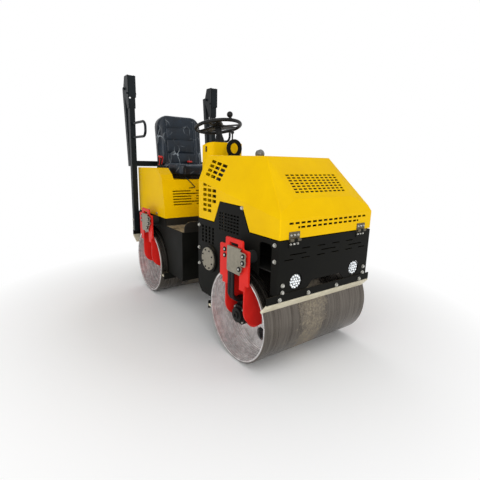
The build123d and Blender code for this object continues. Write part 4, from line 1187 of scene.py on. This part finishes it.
@dataclass
class CoverPlates(Assembly):
    """Folded plates over the hoses, each on three spacers outside a drum arm."""

    thick: float = 4.0
    body_x: Span = (-46.0, 90.0)
    body_z: Span = (592.0, 742.0)
    lobe_x: float = 141.0
    lobe_z: Span = (652.0, 735.0)
    ear_x: float = 104.0
    ear_z: Span = (611.0, 650.0)
    lip: float = 14.0
    lip_steps: int = 4
    corner: float = 12.0
    spacer_radius: float = 9.0

    def plate(self) -> Work:
        """Models one plate in the middle plane, with its outside to the right.

        Returns:
            The plate.
        """
        (rear, front), (foot, top) = self.body_x, self.body_z
        middle = ((rear + front) / 2, self.thick / 2, (foot + top) / 2)
        plate = Work.box((front - rear, self.thick, top - foot), at=middle)
        for height in (*self.ear_z, *self.lobe_z):
            plate.cut((0, 0, height), (0, 0, 1))
        for (low, high), reach in ((self.lobe_z, self.lobe_x), (self.ear_z, self.ear_x)):
            level = (low + high) / 2 * MM
            plate.faces(lambda at, normal: normal.x > ALONG and abs(at.z - level) < MM)
            plate.extrude(reach - front, 0, 0)
        tips = ((self.lobe_x, self.lobe_z), (self.ear_x, self.ear_z), (rear, self.body_z))
        corners = [(x * MM, z * MM) for x, heights in tips for z in heights if z != top]
        plate.edges(
            lambda at, way: abs(way.y) > ALONG
            and any(abs(at.x - x) < MM and abs(at.z - z) < MM for x, z in corners)
        ).bevel(self.corner, segments=5)
        plate.faces(lambda at, normal: normal.z > ALONG and at.z > (top - 1) * MM)
        stride = self.lip / self.lip_steps
        for step in range(self.lip_steps):
            bend = pi / 2 * (step + 1) / self.lip_steps
            plate.extrude(0, stride * sin(bend), stride * cos(bend))
        return plate

    def build(self) -> None:
        """Copies the plate and its spacers to both sides of each drum."""
        plate = self.plate()
        spacer = Work.disc(16, self.spacer_radius, COVER_Y - self.thick - ARM_Y)
        spacer.edges(lambda _, way: abs(way.z) < 0.1).bevel(1, segments=1)
        for end, axle, body in zip(("front", "rear"), AXLES, (Body.FRONT, Body.REAR)):
            parts = []
            for side, facing in SIDES:
                flip = Matrix.Diagonal((1, -side, 1, 1))
                parts.append(plate.twin(self.machine.to(axle, side * COVER_Y, 0) @ flip))
                if side > 0:
                    parts[-1].piece.data.flip_normals()
                for x, z in COVER_SPOTS:
                    parts.append(spacer.twin(self.machine.to(axle + x, side * ARM_Y, z) @ facing.turn()))
            joined = Work.join(parts).smooth()
            covers = self.machine.fit(joined, f"{end}_cover_plates", body, Slot.ZINC, GALVANISED)
            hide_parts(f"{end}_covers")
        for model in (plate, spacer):
            model.remove()


@dataclass
class RollBarStops(Assembly):
    """Channels across the front of the roll bar's brackets, against which the raised hoop stands."""

    post: Span = (-1065.0, 445.0)
    web_x: Span = (30.0, 36.0)
    flange_x: float = 2.0
    half: float = 37.0
    flange: float = 4.0
    fold: float = 4.0
    z: Span = (1796.0, 1984.0)

    def build(self) -> None:
        """Models one channel about the post's middle and copies it to both posts."""
        (back, front), (low, high), inner = self.web_x, self.z, self.half - self.flange
        size, middle = (front - back, 2 * self.half, high - low), ((back + front) / 2, 0, (low + high) / 2)
        web = Work.box(size, at=middle).cut((0, -inner, 0), (0, 1, 0)).cut((0, inner, 0), (0, 1, 0))
        web.faces(lambda at, normal: normal.x < -ALONG and abs(at.y) > inner * MM)
        web.extrude(self.flange_x - back, 0, 0)
        web.edges(lambda at, way: abs(way.z) > ALONG and at.x > (front - 1) * MM)
        web.bevel(self.fold, segments=4).smooth()
        x, y = self.post
        pair = web.spread(self.machine.to(x, side * y, 0) for side in (-1, 1))
        self.machine.fit(pair, "roll_bar_stops", Body.REAR, Slot.BLACK, TUBE_BLACK)


@dataclass
class Headlamps(Assembly):
    """Two round work lamps: black bowl, clustered diodes in mirror cups and a clear lens."""

    face_x: float = 1040.0
    y: float = 258.0
    z: float = 585.0
    radius: float = 46.0
    back_share: float = 0.8
    flange: float = 54.0
    depth: float = 55.0
    bezel: float = 3.5
    sunk: float = 9.0
    cup: float = 8.6
    pitch: float = 17.0
    lens_gap: float = 0.2
    lens_steps: tuple[Span, ...] = ((0.12, 0.8), (0.2, 0.9), (0.3, 0.6))

    def bowl(self) -> Work:
        """Models the bowl with its mounting flange, facing up, with its mouth at height nought.

        Returns:
            The bowl.
        """
        bowl = Work.disc(48, self.radius * self.back_share, 12, foot=-self.depth).faces(looks("z"))
        bowl.draw((18, 1 / self.back_share), (self.depth - 48, 1.0), (0, self.flange / self.radius), (5, 1.0))
        bowl.draw((0, self.radius / self.flange), (13, 1.0)).inset((self.bezel, 0))
        return bowl.extrude(0, 0, -self.sunk).smooth()

    def cups(self) -> Work:
        """Models the cluster of mirror cups with a diode at the bottom of each.

        Returns:
            The cluster, with the diodes on the second material.
        """
        cup = Work.disc(12, self.cup, 5, foot=-self.sunk).faces(looks("z")).inset((0.7, 0))
        cup.draw((-1.6, 0.8), (-2.2, 0.5)).tint(*map(self.machine.material, (REFLECTOR, PHOSPHOR))).smooth()
        places = []
        for count, radius in ((1, 0.0), (6, self.pitch), (12, 2 * self.pitch)):
            turns = [2 * pi * step / count for step in range(count)]
            places += [Matrix.Translation((radius * cos(a) * MM, radius * sin(a) * MM, 0)) for a in turns]
        return cup.spread(places)

    def lens(self) -> Work:
        """Models the crowned clear lens that fills the bezel.

        Returns:
            The lens.
        """
        radius = self.radius - self.bezel - self.lens_gap
        lens = Work.disc(48, radius, 2, foot=-3).faces(looks("z"))
        return lens.inset(*((share * radius, rise) for share, rise in self.lens_steps)).smooth(60)

    def build(self) -> None:
        """Models one lamp, copies it to both sides and hides the plain lamps."""
        bowl, cups, lens = self.bowl(), self.cups(), self.lens()
        for side, y in (("right", -self.y), ("left", self.y)):
            place = self.machine.to(self.face_x, y, self.z) @ Facing.FRONT.turn()
            name, front = f"headlamp_bowl_{side}", Body.FRONT
            body = self.machine.fit(bowl.twin(place), name, front, Slot.PLASTIC, GRAINED_ABS)
            self.machine.fit(cups.twin(place), f"headlamp_cups_{side}", front, Slot.LENS)
            self.machine.fit(lens.twin(place), f"headlamp_lens_{side}", front, Slot.LENS, CLEAR_POLYCARBONATE)
            if side == "right":
                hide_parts("front_lamps")
        for model in (bowl, cups, lens):
            model.remove()


@dataclass(frozen=True)
class Pad:
    """One stuffed seat form, modelled lying with its sitting face up and its foot at the origin."""

    name: str
    node: str
    length: float
    half: float
    thick: float
    corner: Span
    bolster: float
    cross_seams: tuple[float, ...]
    side_seam: float = 0.62
    fill: float = 0.75
    swell: float = 12.0
    voxel: float = 6.0
    channel: float = 7.0
    cap: float = 22.0
    pressure: float = 4.0
    frames: int = 20

    def blank(self) -> Work:
        """Models the form a little small, with rounded corners and raised bolsters.

        Returns:
            The form.
        """
        length, width = self.length - 2 * self.swell, 2 * (self.half - self.swell)
        thick, middle = self.thick - self.swell, self.length / 2 * MM
        form = Work.box((length, width, thick), at=(self.length / 2, 0, thick / 2))
        for end, radius in zip((-1, 1), self.corner):
            form.edges(lambda mid, way: abs(way.z) > ALONG and (mid.x - middle) * end > 0)
            form.bevel(radius, segments=8)
        form.faces(looks("z")).inset((self.swell, self.swell * 0.6))
        form.apply("REMESH", mode="VOXEL", voxel_size=self.voxel * MM)
        inner = self.side_seam * self.half * MM
        form.points(lambda at, normal: abs(at.y) > inner and normal.z > 0.6).move(0, 0, self.bolster)
        bpy.ops.mesh.select_all(action="SELECT")
        bpy.ops.mesh.vertices_smooth(factor=0.5, repeat=8)
        return form

    def sewn(self, at: Vector) -> bool:
        """Tells whether a point lies on one of the sewn channels of the sitting face.

        Args:
            at: The point.

        Returns:
            Whether it is sewn down.
        """
        inner, near = self.side_seam * self.half, 0.8 * self.voxel
        x, y = at.x / MM, at.y / MM
        across = abs(y) < inner and any(abs(x - share * self.length) < near for share in self.cross_seams)
        return across or abs(abs(y) - inner) < near

    def stuff(self, work: Work) -> None:
        """Sews the channels down and blows the form up as cloth, held at seams and foot.

        Args:
            work: The form to stuff.
        """
        work.points(lambda at, normal: normal.z > 0.5 and self.sewn(at)).move(0, 0, -self.channel)
        work.only(work.piece)
        form = work.piece
        held = form.vertex_groups.new(name="held")
        points = form.data.vertices
        held.add([p.index for p in points if p.select or p.co.z < self.voxel * MM], 1.0, "REPLACE")
        before = [point.co.copy() for point in points]
        cloth = form.modifiers.new("stuffing", "CLOTH")
        cloth.settings.use_pressure = True
        cloth.settings.uniform_pressure_force = self.pressure
        cloth.settings.vertex_group_mass = held.name
        cloth.settings.effector_weights.gravity = 0.0
        cloth.point_cache.frame_end = self.frames
        scene = bpy.context.scene
        for step in range(self.frames):
            scene.frame_set(step + 1)
        bpy.ops.object.modifier_apply(modifier=cloth.name)
        scene.frame_set(1)
        for point, start in zip(form.data.vertices, before):
            moved = point.co - start
            if moved.length > self.cap * MM:
                point.co = start + moved.normalized() * self.cap * MM

    def build(self, machine: Machine, place: Matrix) -> None:
        """Models, stuffs and places the pad instead of its plain solid.

        Args:
            machine: The roller.
            place: The pad's turn and place.
        """
        form = self.blank()
        self.stuff(form)
        form.apply("SUBSURF", levels=1, render_levels=1)
        bpy.ops.object.shade_smooth()
        pad = machine.fit(form.place(place), self.name, Body.REAR, Slot.SEAT, SEAT_VINYL)
        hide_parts(self.node)


@dataclass
class DriverSeat(Assembly):
    """Padded seat with its back shell, side covers, apron, belt buckle, latch and adjusting rod."""

    cushion: Pad = Pad("seat_cushion_pad", "seat_cushion", 392, 232, 86, (36, 60), 10, (0.36, 0.68))
    back: Pad = Pad("seat_backrest_pad", "seat_backrest", 515, 242, 92, (30, 110), 16, (0.27, 0.52, 0.74))
    rear: float = -900.0
    cushion_z: float = 1110.5
    back_z: float = 1165.0
    back_thick: float = 95.0
    lean_deg: float = 8.0
    shell_size: Point = (462.0, 424.0, 10.0)
    shell_foot: float = 20.0
    shell_round: float = 70.0
    shell_steps: tuple[Span, ...] = ((14, -4), (22, 4), (10, -4))
    cover_size: Point = (150.0, 22.0, 120.0)
    cover_at: Point = (-858.0, 252.0, 1130.0)
    cover_round: float = 50.0
    apron_size: Point = (330.0, 380.0, 26.0)
    apron_at: Point = (-715.0, 0.0, 1083.0)
    buckle_size: Point = (46.0, 24.0, 84.0)
    buckle_at: Point = (-872.0, -256.0, 1168.0)
    buckle_lift: float = 60.0
    buckle_lean_deg: float = 14.0
    buckle_turn_deg: float = 38.0
    strap_size: Point = (30.0, 3.0, 84.0)
    strap_drop: float = 12.0
    strap_foot: Point = (-6.0, 26.0, -12.0)
    latch_size: Point = (26.0, 44.0, 16.0)
    latch_at: Point = (-886.0, 72.0, 1222.0)
    rod_radius: float = 4.0
    rod: tuple[Point, ...] = (
        (-530, -158, 1088),
        (-500, -154, 1074),
        (-482, -120, 1036),
        (-478, -86, 1000),
        (-478, -92, 994),
        (-478, -143, 992),
    )

    def back_place(self) -> Matrix:
        """Gives the turn and place of a form that lies along the leaning back.

        Returns:
            The matrix.
        """
        lean = radians(self.lean_deg)
        up = Vector((-sin(lean), 0, cos(lean)))
        forward = Vector((cos(lean), 0, sin(lean)))
        axes = Matrix((up, forward.cross(up), forward)).transposed().to_4x4()
        foot = self.machine.at(self.rear, 0, self.back_z) + forward * -self.back_thick * MM
        return Matrix.Translation(foot) @ axes

    def shell(self) -> None:
        """Builds the ribbed moulding that closes the backrest behind."""
        height, _, thick = self.shell_size
        shell = Work.box(self.shell_size, at=(self.shell_foot + height / 2, 0, -thick / 2))
        shell.edges(runs("z")).bevel(self.shell_round, segments=8)
        shell.faces(looks("z", -1)).inset(*self.shell_steps).smooth().place(self.back_place())
        self.machine.fit(shell, "seat_back_shell", Body.REAR, Slot.PLASTIC, GRAINED_ABS)

    def covers(self) -> None:
        """Builds the moulded covers beside the seat's hinge and the apron over its slides."""
        x, y, z = self.cover_at
        cover = Work.box(self.cover_size).edges(lambda mid, way: abs(way.y) > ALONG and mid.z > 0)
        cover.bevel(self.cover_round, segments=8).faces(runs("y")).panel(margin=9, depth=4)
        sides = cover.spread(self.machine.to(x, side * y, z) for side in (-1, 1))
        apron = Work.box(self.apron_size).faces(lambda _, normal: abs(normal.z) < 0.1)
        apron.panel(margin=5, depth=-5).place(self.machine.to(*self.apron_at))
        covers = Work.join([sides, apron]).smooth()
        self.machine.fit(covers, "seat_side_covers", Body.REAR, Slot.PLASTIC, GRAINED_ABS)

    def buckle(self) -> None:
        """Builds the red belt buckle, black in its middle, on its short strap beside the seat."""
        lean = Matrix.Rotation(radians(self.buckle_lean_deg), 4, "Y")
        turn = Matrix.Rotation(radians(self.buckle_turn_deg), 4, "Z")
        place = self.machine.to(*self.buckle_at) @ lean @ turn
        case = Work.box(self.buckle_size, at=(0, 0, self.buckle_lift))
        case.points(lambda at, _: at.z < self.buckle_lift / 2 * MM).resize(0.62, 0.8, 1)
        case.edges(runs("z", 0.7)).bevel(8, segments=4).faces(looks("z")).inset((5, 4))
        case.faces(lambda mid, normal: abs(normal.y) > ALONG and mid.z > 20 * MM).panel(margin=9, depth=-3)
        case.tint(*map(self.machine.material, (RED_ABS, GRAINED_ABS))).smooth().place(place)
        self.machine.fit(case, "belt_buckle", Body.REAR, Slot.RED)
        strap = Work.box(self.strap_size, at=(0, 0, -self.strap_drop)).faces(looks("z", -1))
        strap.extrude(*self.strap_foot).edges(runs("z", 0.7)).bevel(0.8, segments=2).place(place)
        self.machine.fit(strap, "belt_strap", Body.REAR, Slot.RUBBER, BELT_WEBBING)

    def latch(self) -> None:
        """Builds the red latch that lies where cushion and backrest meet."""
        latch = Work.box(self.latch_size).faces(looks("x")).inset((3, 0)).move(4, 0, 0)
        latch.edges(runs("x")).bevel(4, segments=3).smooth().place(self.machine.to(*self.latch_at))
        self.machine.fit(latch, "belt_latch", Body.REAR, Slot.RED, RED_ABS)

    def adjuster(self) -> None:
        """Builds the bent rod that frees the seat's slides."""
        points = [self.machine.at(*point) for point in self.rod]
        ring = {"vertices": 10, "radius": self.rod_radius * MM, "fill_type": "NGON"}
        rod = Work.start(bpy.ops.mesh.primitive_circle_add, **ring)
        way = (points[1] - points[0]).normalized()
        rod.place(Matrix.Translation(points[0]) @ upright(way)).faces(anything)
        for here, ahead in zip(points, points[1:]):
            rod.extrude(*((ahead - here) / MM))
        bpy.ops.mesh.select_all(action="SELECT")
        bpy.ops.mesh.normals_make_consistent(inside=False)
        self.machine.fit(rod.smooth(50), "seat_adjusting_rod", Body.REAR, Slot.BLACK, TUBE_BLACK)

    def build(self) -> None:
        """Builds the seat."""
        self.cushion.build(self.machine, self.machine.to(self.rear, 0, self.cushion_z))
        self.back.build(self.machine, self.back_place())
        for step in (self.shell, self.covers, self.buckle, self.latch, self.adjuster):
            step()


@dataclass
class EngineBay(Assembly):
    """Tank, cooler with its baffle, foam liner and air cleaner under the hood."""

    tank_x: Span = (190.0, 412.0)
    tank_half: float = 296.0
    tank_z: Span = (650.0, 1215.0)
    tank_foot: float = 100.0
    tank_round: float = 70.0
    tank_edge: float = 18.0
    strap_x: Span = (250.0, 350.0)
    strap_width: float = 26.0
    cooler_x: Span = (915.0, 965.0)
    cooler_half: float = 300.0
    cooler_z: Span = (650.0, 1006.0)
    cooler_rim: float = 30.0
    cooler_sunk: float = 10.0
    cooler_round: float = 14.0
    fin_rim: float = 32.0
    fin_thick: float = 3.0
    fin_short: float = 8.0
    fins: int = 30
    baffle_x: Span = (970.0, 988.0)
    baffle_half: float = 380.0
    baffle_z: Span = (645.0, 822.0)
    baffle_rim: float = 4.0
    baffle_sunk: float = 14.0
    liner_at: Point = (896.7, 0.0, 1112.5)
    liner_size: Point = (178.0, 468.0, 8.0)
    liner_tip_deg: float = 44.8
    liner_quilts: int = 5
    cleaner_at: Point = (600.0, -170.0, 1160.0)
    cleaner_radius: float = 74.0
    cleaner_length: float = 300.0
    foot_size: Point = (110.0, 24.0, 40.0)
    foot_y: Span = (60.0, 200.0)
    foot_z: float = 1100.0

    def tank(self) -> None:
        """Builds the moulded tank and its two straps."""
        low, high = self.tank_z
        shoulder: Test = lambda mid, way: abs(way.x) > ALONG and mid.z > (low + self.tank_foot) * MM
        tank = self.machine.block(self.tank_x, self.tank_half, self.tank_z).edges(shoulder)
        tank.bevel(self.tank_round, segments=6).edges(lambda _, way: abs(way.x) < 0.1)
        tank.bevel(self.tank_edge, segments=3).smooth()
        self.machine.fit(tank, "engine_bay_tank", Body.FRONT, Slot.PLASTIC, TANK_POLYETHYLENE)
        size = (self.strap_width, 2 * self.tank_half + 5, high - low + 3)
        strap = Work.box(size, at=(0, 0, (low + high) / 2 + 1)).edges(shoulder)
        strap.bevel(self.tank_round + 1, segments=6)
        straps = strap.spread(self.machine.to(x, 0, 0) for x in self.strap_x).smooth()
        self.machine.fit(straps, "tank_straps", Body.FRONT, Slot.ZINC, GALVANISED)

    def cooler(self) -> None:
        """Builds the finned cooler in its frame between the engine and the front panel."""
        (rear, front), (low, high) = self.cooler_x, self.cooler_z
        box = self.machine.block(self.cooler_x, self.cooler_half, self.cooler_z).faces(runs("x"))
        box.inset((self.cooler_rim, 0)).swell(-self.cooler_sunk)
        box.edges(lambda mid, way: abs(way.y) > ALONG and abs(mid.z - high * MM) < MM)
        box.bevel(self.cooler_round, segments=4).smooth()
        self.machine.fit(box, "cooler_frame", Body.FRONT, Slot.BLACK, CHASSIS_BLACK)
        fin = Work.box((front - rear - self.fin_short, 2 * (self.cooler_half - self.fin_rim), self.fin_thick))
        fin.edges(runs("y")).bevel(1, segments=1)
        pitch, middle = (high - low - 2 * self.fin_rim) / self.fins, (rear + front) / 2
        heights = [low + self.fin_rim + pitch * (step + 0.5) for step in range(self.fins)]
        core = fin.spread(self.machine.to(middle, 0, z) for z in heights)
        self.machine.fit(core, "cooler_fins", Body.FRONT, Slot.ZINC, COOLER_ALUMINIUM)

    def baffle(self) -> None:
        """Builds the flanged sheet that closes the cooler's sides behind the front panel."""
        sheet = self.machine.block(self.baffle_x, self.baffle_half, self.baffle_z).faces(looks("x"))
        sheet.inset((self.baffle_rim, 0)).extrude(-self.baffle_sunk, 0, 0)
        self.machine.fit(sheet, "cooler_baffle", Body.FRONT, Slot.BLACK, CHASSIS_BLACK)

    def liner(self) -> None:
        """Builds the quilted foam sheet under the hood's nose grille."""
        foam = Work.box(self.liner_size, at=(0, 0, -self.liner_size[2] / 2)).faces(runs("z"))
        bpy.ops.mesh.subdivide(number_cuts=self.liner_quilts - 1)
        foam.faces(runs("z")).panel(margin=3, depth=2).smooth(60)
        foam.place(self.machine.to(*self.liner_at) @ Matrix.Rotation(radians(self.liner_tip_deg), 4, "Y"))
        self.machine.fit(foam, "hood_foam_liner", Body.HOOD, Slot.RUBBER, MOULDED_RUBBER)

    def cleaner(self) -> None:
        """Builds the air cleaner's ribbed canister on top of the engine."""
        x, y, _ = self.cleaner_at
        can = Work.disc(32, self.cleaner_radius, 40).faces(looks("z"))
        can.draw((0, 1.05), (12, 1.0), (0, 0.95), (self.cleaner_length - 90, 1.0))
        can.draw((0, 1.04), (26, 1.0), (12, 0.8))
        can.inset((18, 0)).extrude(0, 0, 10).place(self.machine.to(*self.cleaner_at) @ Facing.LEFT.turn())
        foot = Work.box(self.foot_size).faces(looks("z")).resize(0.6, 1, 1)
        feet = foot.spread(self.machine.to(x, y + along, self.foot_z) for along in self.foot_y)
        cleaner = Work.join([can, feet]).smooth()
        self.machine.fit(cleaner, "air_cleaner", Body.FRONT, Slot.PLASTIC, GRAINED_ABS)

    def build(self) -> None:
        """Builds what the engine bay holds besides the engine."""
        for step in (self.tank, self.cooler, self.baffle, self.liner, self.cleaner):
            step()


@dataclass
class Controls(Assembly):
    """Wheel's hub cap and spoke covers, lever's bellows, and the console's latch, gauge and switches."""

    wheel_at: Point = (-224.0, 0.0, 1518.0)
    tilt_deg: float = 12.6
    cap_radius: float = 34.0
    cap_lift: float = 17.0
    cap_steps: tuple[Span, ...] = ((3, 2.5), (8, 1.0), (2, -1.2), (8, 0.6))
    spoke_reach: Span = (30.0, 178.0)
    spoke_width: float = 84.0
    spoke_taper: float = 0.42
    spoke_thick: float = 14.0
    spoke_degs: Point = (90.0, 210.0, 330.0)
    latch_size: Point = (13.0, 44.0, 6.0)
    latch_at: Point = (-127.0, -168.0, 1329.0)
    console_lift: float = -162.1
    lever_at: Span = (96.0, 58.0)
    boot_radius: float = 26.0
    gauge_at: Span = (34.0, 106.0)
    gauge_radius: float = 30.0
    tick_size: Point = (6.0, 1.4, 0.8)
    tick_at: Point = (20.0, 0.0, 5.8)
    tick_deg: float = 30.0
    needle_deg: float = 100.0
    key_at: Span = (34.0, -84.0)
    key_radius: float = 14.0
    key_steps: tuple[Span, ...] = ((3, 4), (3.5, 0), (1.5, -3))
    buttons: tuple[Span, ...] = ((12.0, -116.0), (46.0, -124.0))
    button_radius: float = 12.0
    button_steps: tuple[Span, ...] = ((2, 2), (1.5, 0), (0.5, 4), (2, 1.2))

    def tilted(self, x: float, y: float, lift: float) -> Matrix:
        """Gives a place forward, left and up from the wheel's centre, square to the column."""
        turn = Matrix.Rotation(radians(-self.tilt_deg), 4, "Y")
        return self.machine.to(*self.wheel_at) @ turn @ Matrix.Translation((x * MM, y * MM, lift * MM))

    def on_console(self, spot: Span) -> Matrix:
        """Gives a place on the console's sloping top."""
        return self.tilted(*spot, self.console_lift)

    def wheel(self) -> None:
        """Builds the stepped cap on the wheel's hub and the covers over its spokes, broad at the hub."""
        cap = Work.disc(32, self.cap_radius, 3).faces(looks("z")).inset(*self.cap_steps).smooth(25)
        cap.place(self.tilted(0, 0, self.cap_lift))
        self.machine.fit(cap, "wheel_hub_cap", Body.WHEEL, Slot.PLASTIC, GRAINED_ABS)
        inner, outer = self.spoke_reach
        size = (outer - inner, self.spoke_width, self.spoke_thick)
        cover = Work.box(size, at=((inner + outer) / 2, 0, 0)).faces(looks("x"))
        cover.resize(1, self.spoke_taper, 0.8).edges(runs("x", 0.7)).bevel(6, segments=4)
        turns = [Matrix.Rotation(radians(angle), 4, "Z") for angle in self.spoke_degs]
        spokes = cover.spread(turns).smooth().place(self.tilted(0, 0, 0))
        self.machine.fit(spokes, "wheel_spoke_covers", Body.WHEEL, Slot.PLASTIC, GRAINED_ABS)

    def latch(self) -> None:
        """Builds the quarter-turn latch on the console's right-hand cheek."""
        latch = Work.box(self.latch_size, at=(0, 0, self.latch_size[2] / 2)).edges(runs("z"))
        latch.bevel(6, segments=5).faces(looks("z")).inset((1.5, 1.5)).smooth()
        latch.place(self.machine.to(*self.latch_at) @ Facing.RIGHT.turn())
        self.machine.fit(latch, "console_latch", Body.REAR, Slot.PLASTIC, GRAINED_ABS)

    def bellows(self) -> None:
        """Builds the folded rubber boot round the travel lever's foot."""
        boot = Work.disc(24, self.boot_radius, 3).faces(looks("z"))
        boot.draw((0, 0.86), (3, 0.88), (3, 1.08), (3, 0.84), (3, 1.08), (3, 0.8), (3, 1.06), (4, 0.7))
        boot.smooth(60).place(self.on_console(self.lever_at))
        self.machine.fit(boot, "lever_bellows", Body.REAR, Slot.RUBBER, MOULDED_RUBBER)

    def gauge(self) -> None:
        """Builds the round gauge with its sunk dial, ticks and needle."""
        place, reach = self.on_console(self.gauge_at), self.tick_at[0]
        case = Work.disc(36, self.gauge_radius, 8).faces(looks("z")).inset((2, 1.5), (2, 0)).extrude(0, 0, -4)
        case.tint(*map(self.machine.material, (GRAINED_ABS, CAST_IRON))).smooth().place(place)
        tick = Work.box(self.tick_size, at=self.tick_at).faces(looks("x", -1)).resize(1, 0.5, 1)
        turns = [Matrix.Rotation(radians(self.tick_deg * step), 4, "Z") for step in range(-4, 5)]
        angle = radians(self.needle_deg)
        needle = tick.twin(Matrix.Rotation(angle, 4, "Z") @ Matrix.Diagonal((1, 1, 1.6, 1)))
        needle.faces(lambda at, _: at.length < (reach - 2) * MM)
        needle.move(-reach * cos(angle), -reach * sin(angle), 0)
        marks = Work.join([tick.spread(turns), needle]).place(place)
        self.machine.fit(case, "console_gauge", Body.REAR, Slot.PLASTIC)
        self.machine.fit(marks, "gauge_marks", Body.REAR, Slot.ZINC, PHOSPHOR)

    def switches(self) -> None:
        """Builds the key switch and the push buttons."""
        lock = Work.disc(24, self.key_radius, 4).faces(looks("z")).inset(*self.key_steps).smooth()
        lock.place(self.on_console(self.key_at))
        self.machine.fit(lock, "key_switch", Body.REAR, Slot.ZINC, BRIGHT_ZINC)
        button = Work.disc(24, self.button_radius, 3).faces(looks("z")).inset(*self.button_steps).smooth()
        row = button.spread(map(self.on_console, self.buttons))
        self.machine.fit(row, "push_buttons", Body.REAR, Slot.PLASTIC, GRAINED_ABS)

    def build(self) -> None:
        """Builds the controls' small parts."""
        for step in (self.wheel, self.latch, self.bellows, self.gauge, self.switches):
            step()


@dataclass
class Studio(Assembly):
    """Camera at the photo's place, pale floor and soft light."""

    eye: Point = (2384.7, -1613.0, 1245.8)
    yaw_deg: float = 144.42
    pitch_deg: float = -12.83
    roll_deg: float = 1.44
    focal_px: float = 349.0
    clip_m: float = 60.0
    floor_m: float = 24.0
    floor_drop_m: float = 0.001
    floor_rough: float = 0.9
    floor_fade_m: Span = (1.1, 2.2)
    ambient: float = 0.4
    middle: Point = (0.0, 0.0, 900.0)
    low_middle: Point = (0.0, 0.0, 500.0)

    def camera(self) -> None:
        """Sets the camera up."""
        yaw, pitch, roll = (radians(a) for a in (self.yaw_deg, self.pitch_deg, self.roll_deg))
        ahead = Vector((cos(yaw) * cos(pitch), sin(yaw) * cos(pitch), sin(pitch)))
        right = Vector((sin(yaw), -cos(yaw), 0.0))
        up = right.cross(ahead)
        turned_right = right * cos(roll) + up * sin(roll)
        turned_up = up * cos(roll) - right * sin(roll)
        data = bpy.data.cameras.new("photo_camera")
        data.sensor_width = SENSOR_MM
        data.lens = self.focal_px / IMAGE * SENSOR_MM
        data.clip_end = self.clip_m
        view = bpy.data.objects.new("photo_camera", data)
        bpy.context.collection.objects.link(view)
        axes = Matrix((turned_right, turned_up, -ahead)).transposed()
        view.matrix_world = self.machine.to(*self.eye) @ axes.to_4x4()
        bpy.context.scene.camera = view
        bpy.context.scene.view_settings.view_transform = "Standard"

    def world(self) -> None:
        """Lights the scene evenly, and shows white to the camera, to gloss and through glass."""
        world = bpy.data.worlds.new("studio_world")
        bpy.context.scene.world = world
        world.use_nodes = True
        graph = Graph(world.node_tree)
        graph.tree.nodes.clear()
        path = add_node(graph.tree, "ShaderNodeLightPath").outputs
        seen = graph.maths("MAXIMUM", path["Is Camera Ray"], path["Is Glossy Ray"])
        seen = graph.maths("MAXIMUM", seen, path["Is Transmission Ray"])
        strength = graph.ramp(seen, to=(self.ambient, 1.0))
        sky = add_node(graph.tree, "ShaderNodeBackground", {"Color": linear(WHITE)}, {"Strength": strength})
        add_node(graph.tree, "ShaderNodeOutputWorld", None, {"Surface": sky.outputs["Background"]})

    def lamp(self, name: str, place: Point, aim: Point, size: float, watts: float) -> None:
        """Adds one soft lamp.

        Args:
            name: The lamp's name.
            place: Where it stands.
            aim: The point it faces.
            size: Its side length in metres.
            watts: Its power.
        """
        data = bpy.data.lights.new(name, "AREA")
        data.size = size
        data.energy = watts
        lamp = bpy.data.objects.new(name, data)
        bpy.context.collection.objects.link(lamp)
        lamp.location = self.machine.at(*place)
        way = self.machine.at(*aim) - lamp.location
        lamp.rotation_euler = way.to_track_quat("-Z", "Y").to_euler()

    def floor(self) -> None:
        """Lays the pale floor that keeps the shadow and fades into the background."""
        bpy.ops.object.select_all(action="DESELECT")
        bpy.ops.mesh.primitive_plane_add(size=self.floor_m, location=(0, 0, -self.floor_drop_m))
        floor = bpy.context.active_object
        floor.name = "studio_floor"
        paint = bpy.data.materials.new("studio_floor_white")
        paint.use_nodes = True
        surface = Surface(paint.node_tree)
        surface.feed({"Base Color": linear(WHITE), "Roughness": self.floor_rough})
        far = surface.vector("LENGTH", surface.place).outputs["Value"]
        fade = surface.ramp(far, span=self.floor_fade_m)
        white = add_node(surface.tree, "ShaderNodeEmission", {"Color": linear(WHITE)})
        shown = {0: fade, 1: surface.shader.outputs["BSDF"], 2: white.outputs["Emission"]}
        mixed = add_node(surface.tree, "ShaderNodeMixShader", None, shown)
        end = surface.tree.nodes["Material Output"].inputs["Surface"]
        surface.tree.links.new(mixed.outputs["Shader"], end)
        floor.data.materials.append(paint)

    def build(self) -> None:
        """Sets up camera, world, floor and lamps."""
        self.camera()
        self.world()
        self.floor()
        self.lamp("key", (1800, -2700, 3600), self.middle, 2.6, 12)
        self.lamp("fill", (2300, -100, 3900), self.middle, 2.6, 24)
        self.lamp("front", (7000, -3500, 3000), self.middle, 4.5, 185)
        self.lamp("side", (700, -2900, 900), self.low_middle, 2.0, 12)
        self.lamp("rim", (-3200, 1400, 3200), self.middle, 2.4, 40)


def main() -> None:
    """Builds the studio, dresses the machine and adds the pieces that the solids leave out."""
    logging.basicConfig(level=logging.INFO, format="%(message)s")
    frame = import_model()
    machine = Machine(frame)
    Studio(machine).build()
    machine.dress_nodes()
    for kind in (DriverSeat, Headlamps, Fasteners, CoverPlates, RollBarStops, EngineBay, Controls):
        kind(machine).build()
        log.info("built %s", kind.__name__)


if __name__ == "__main__":
    main()
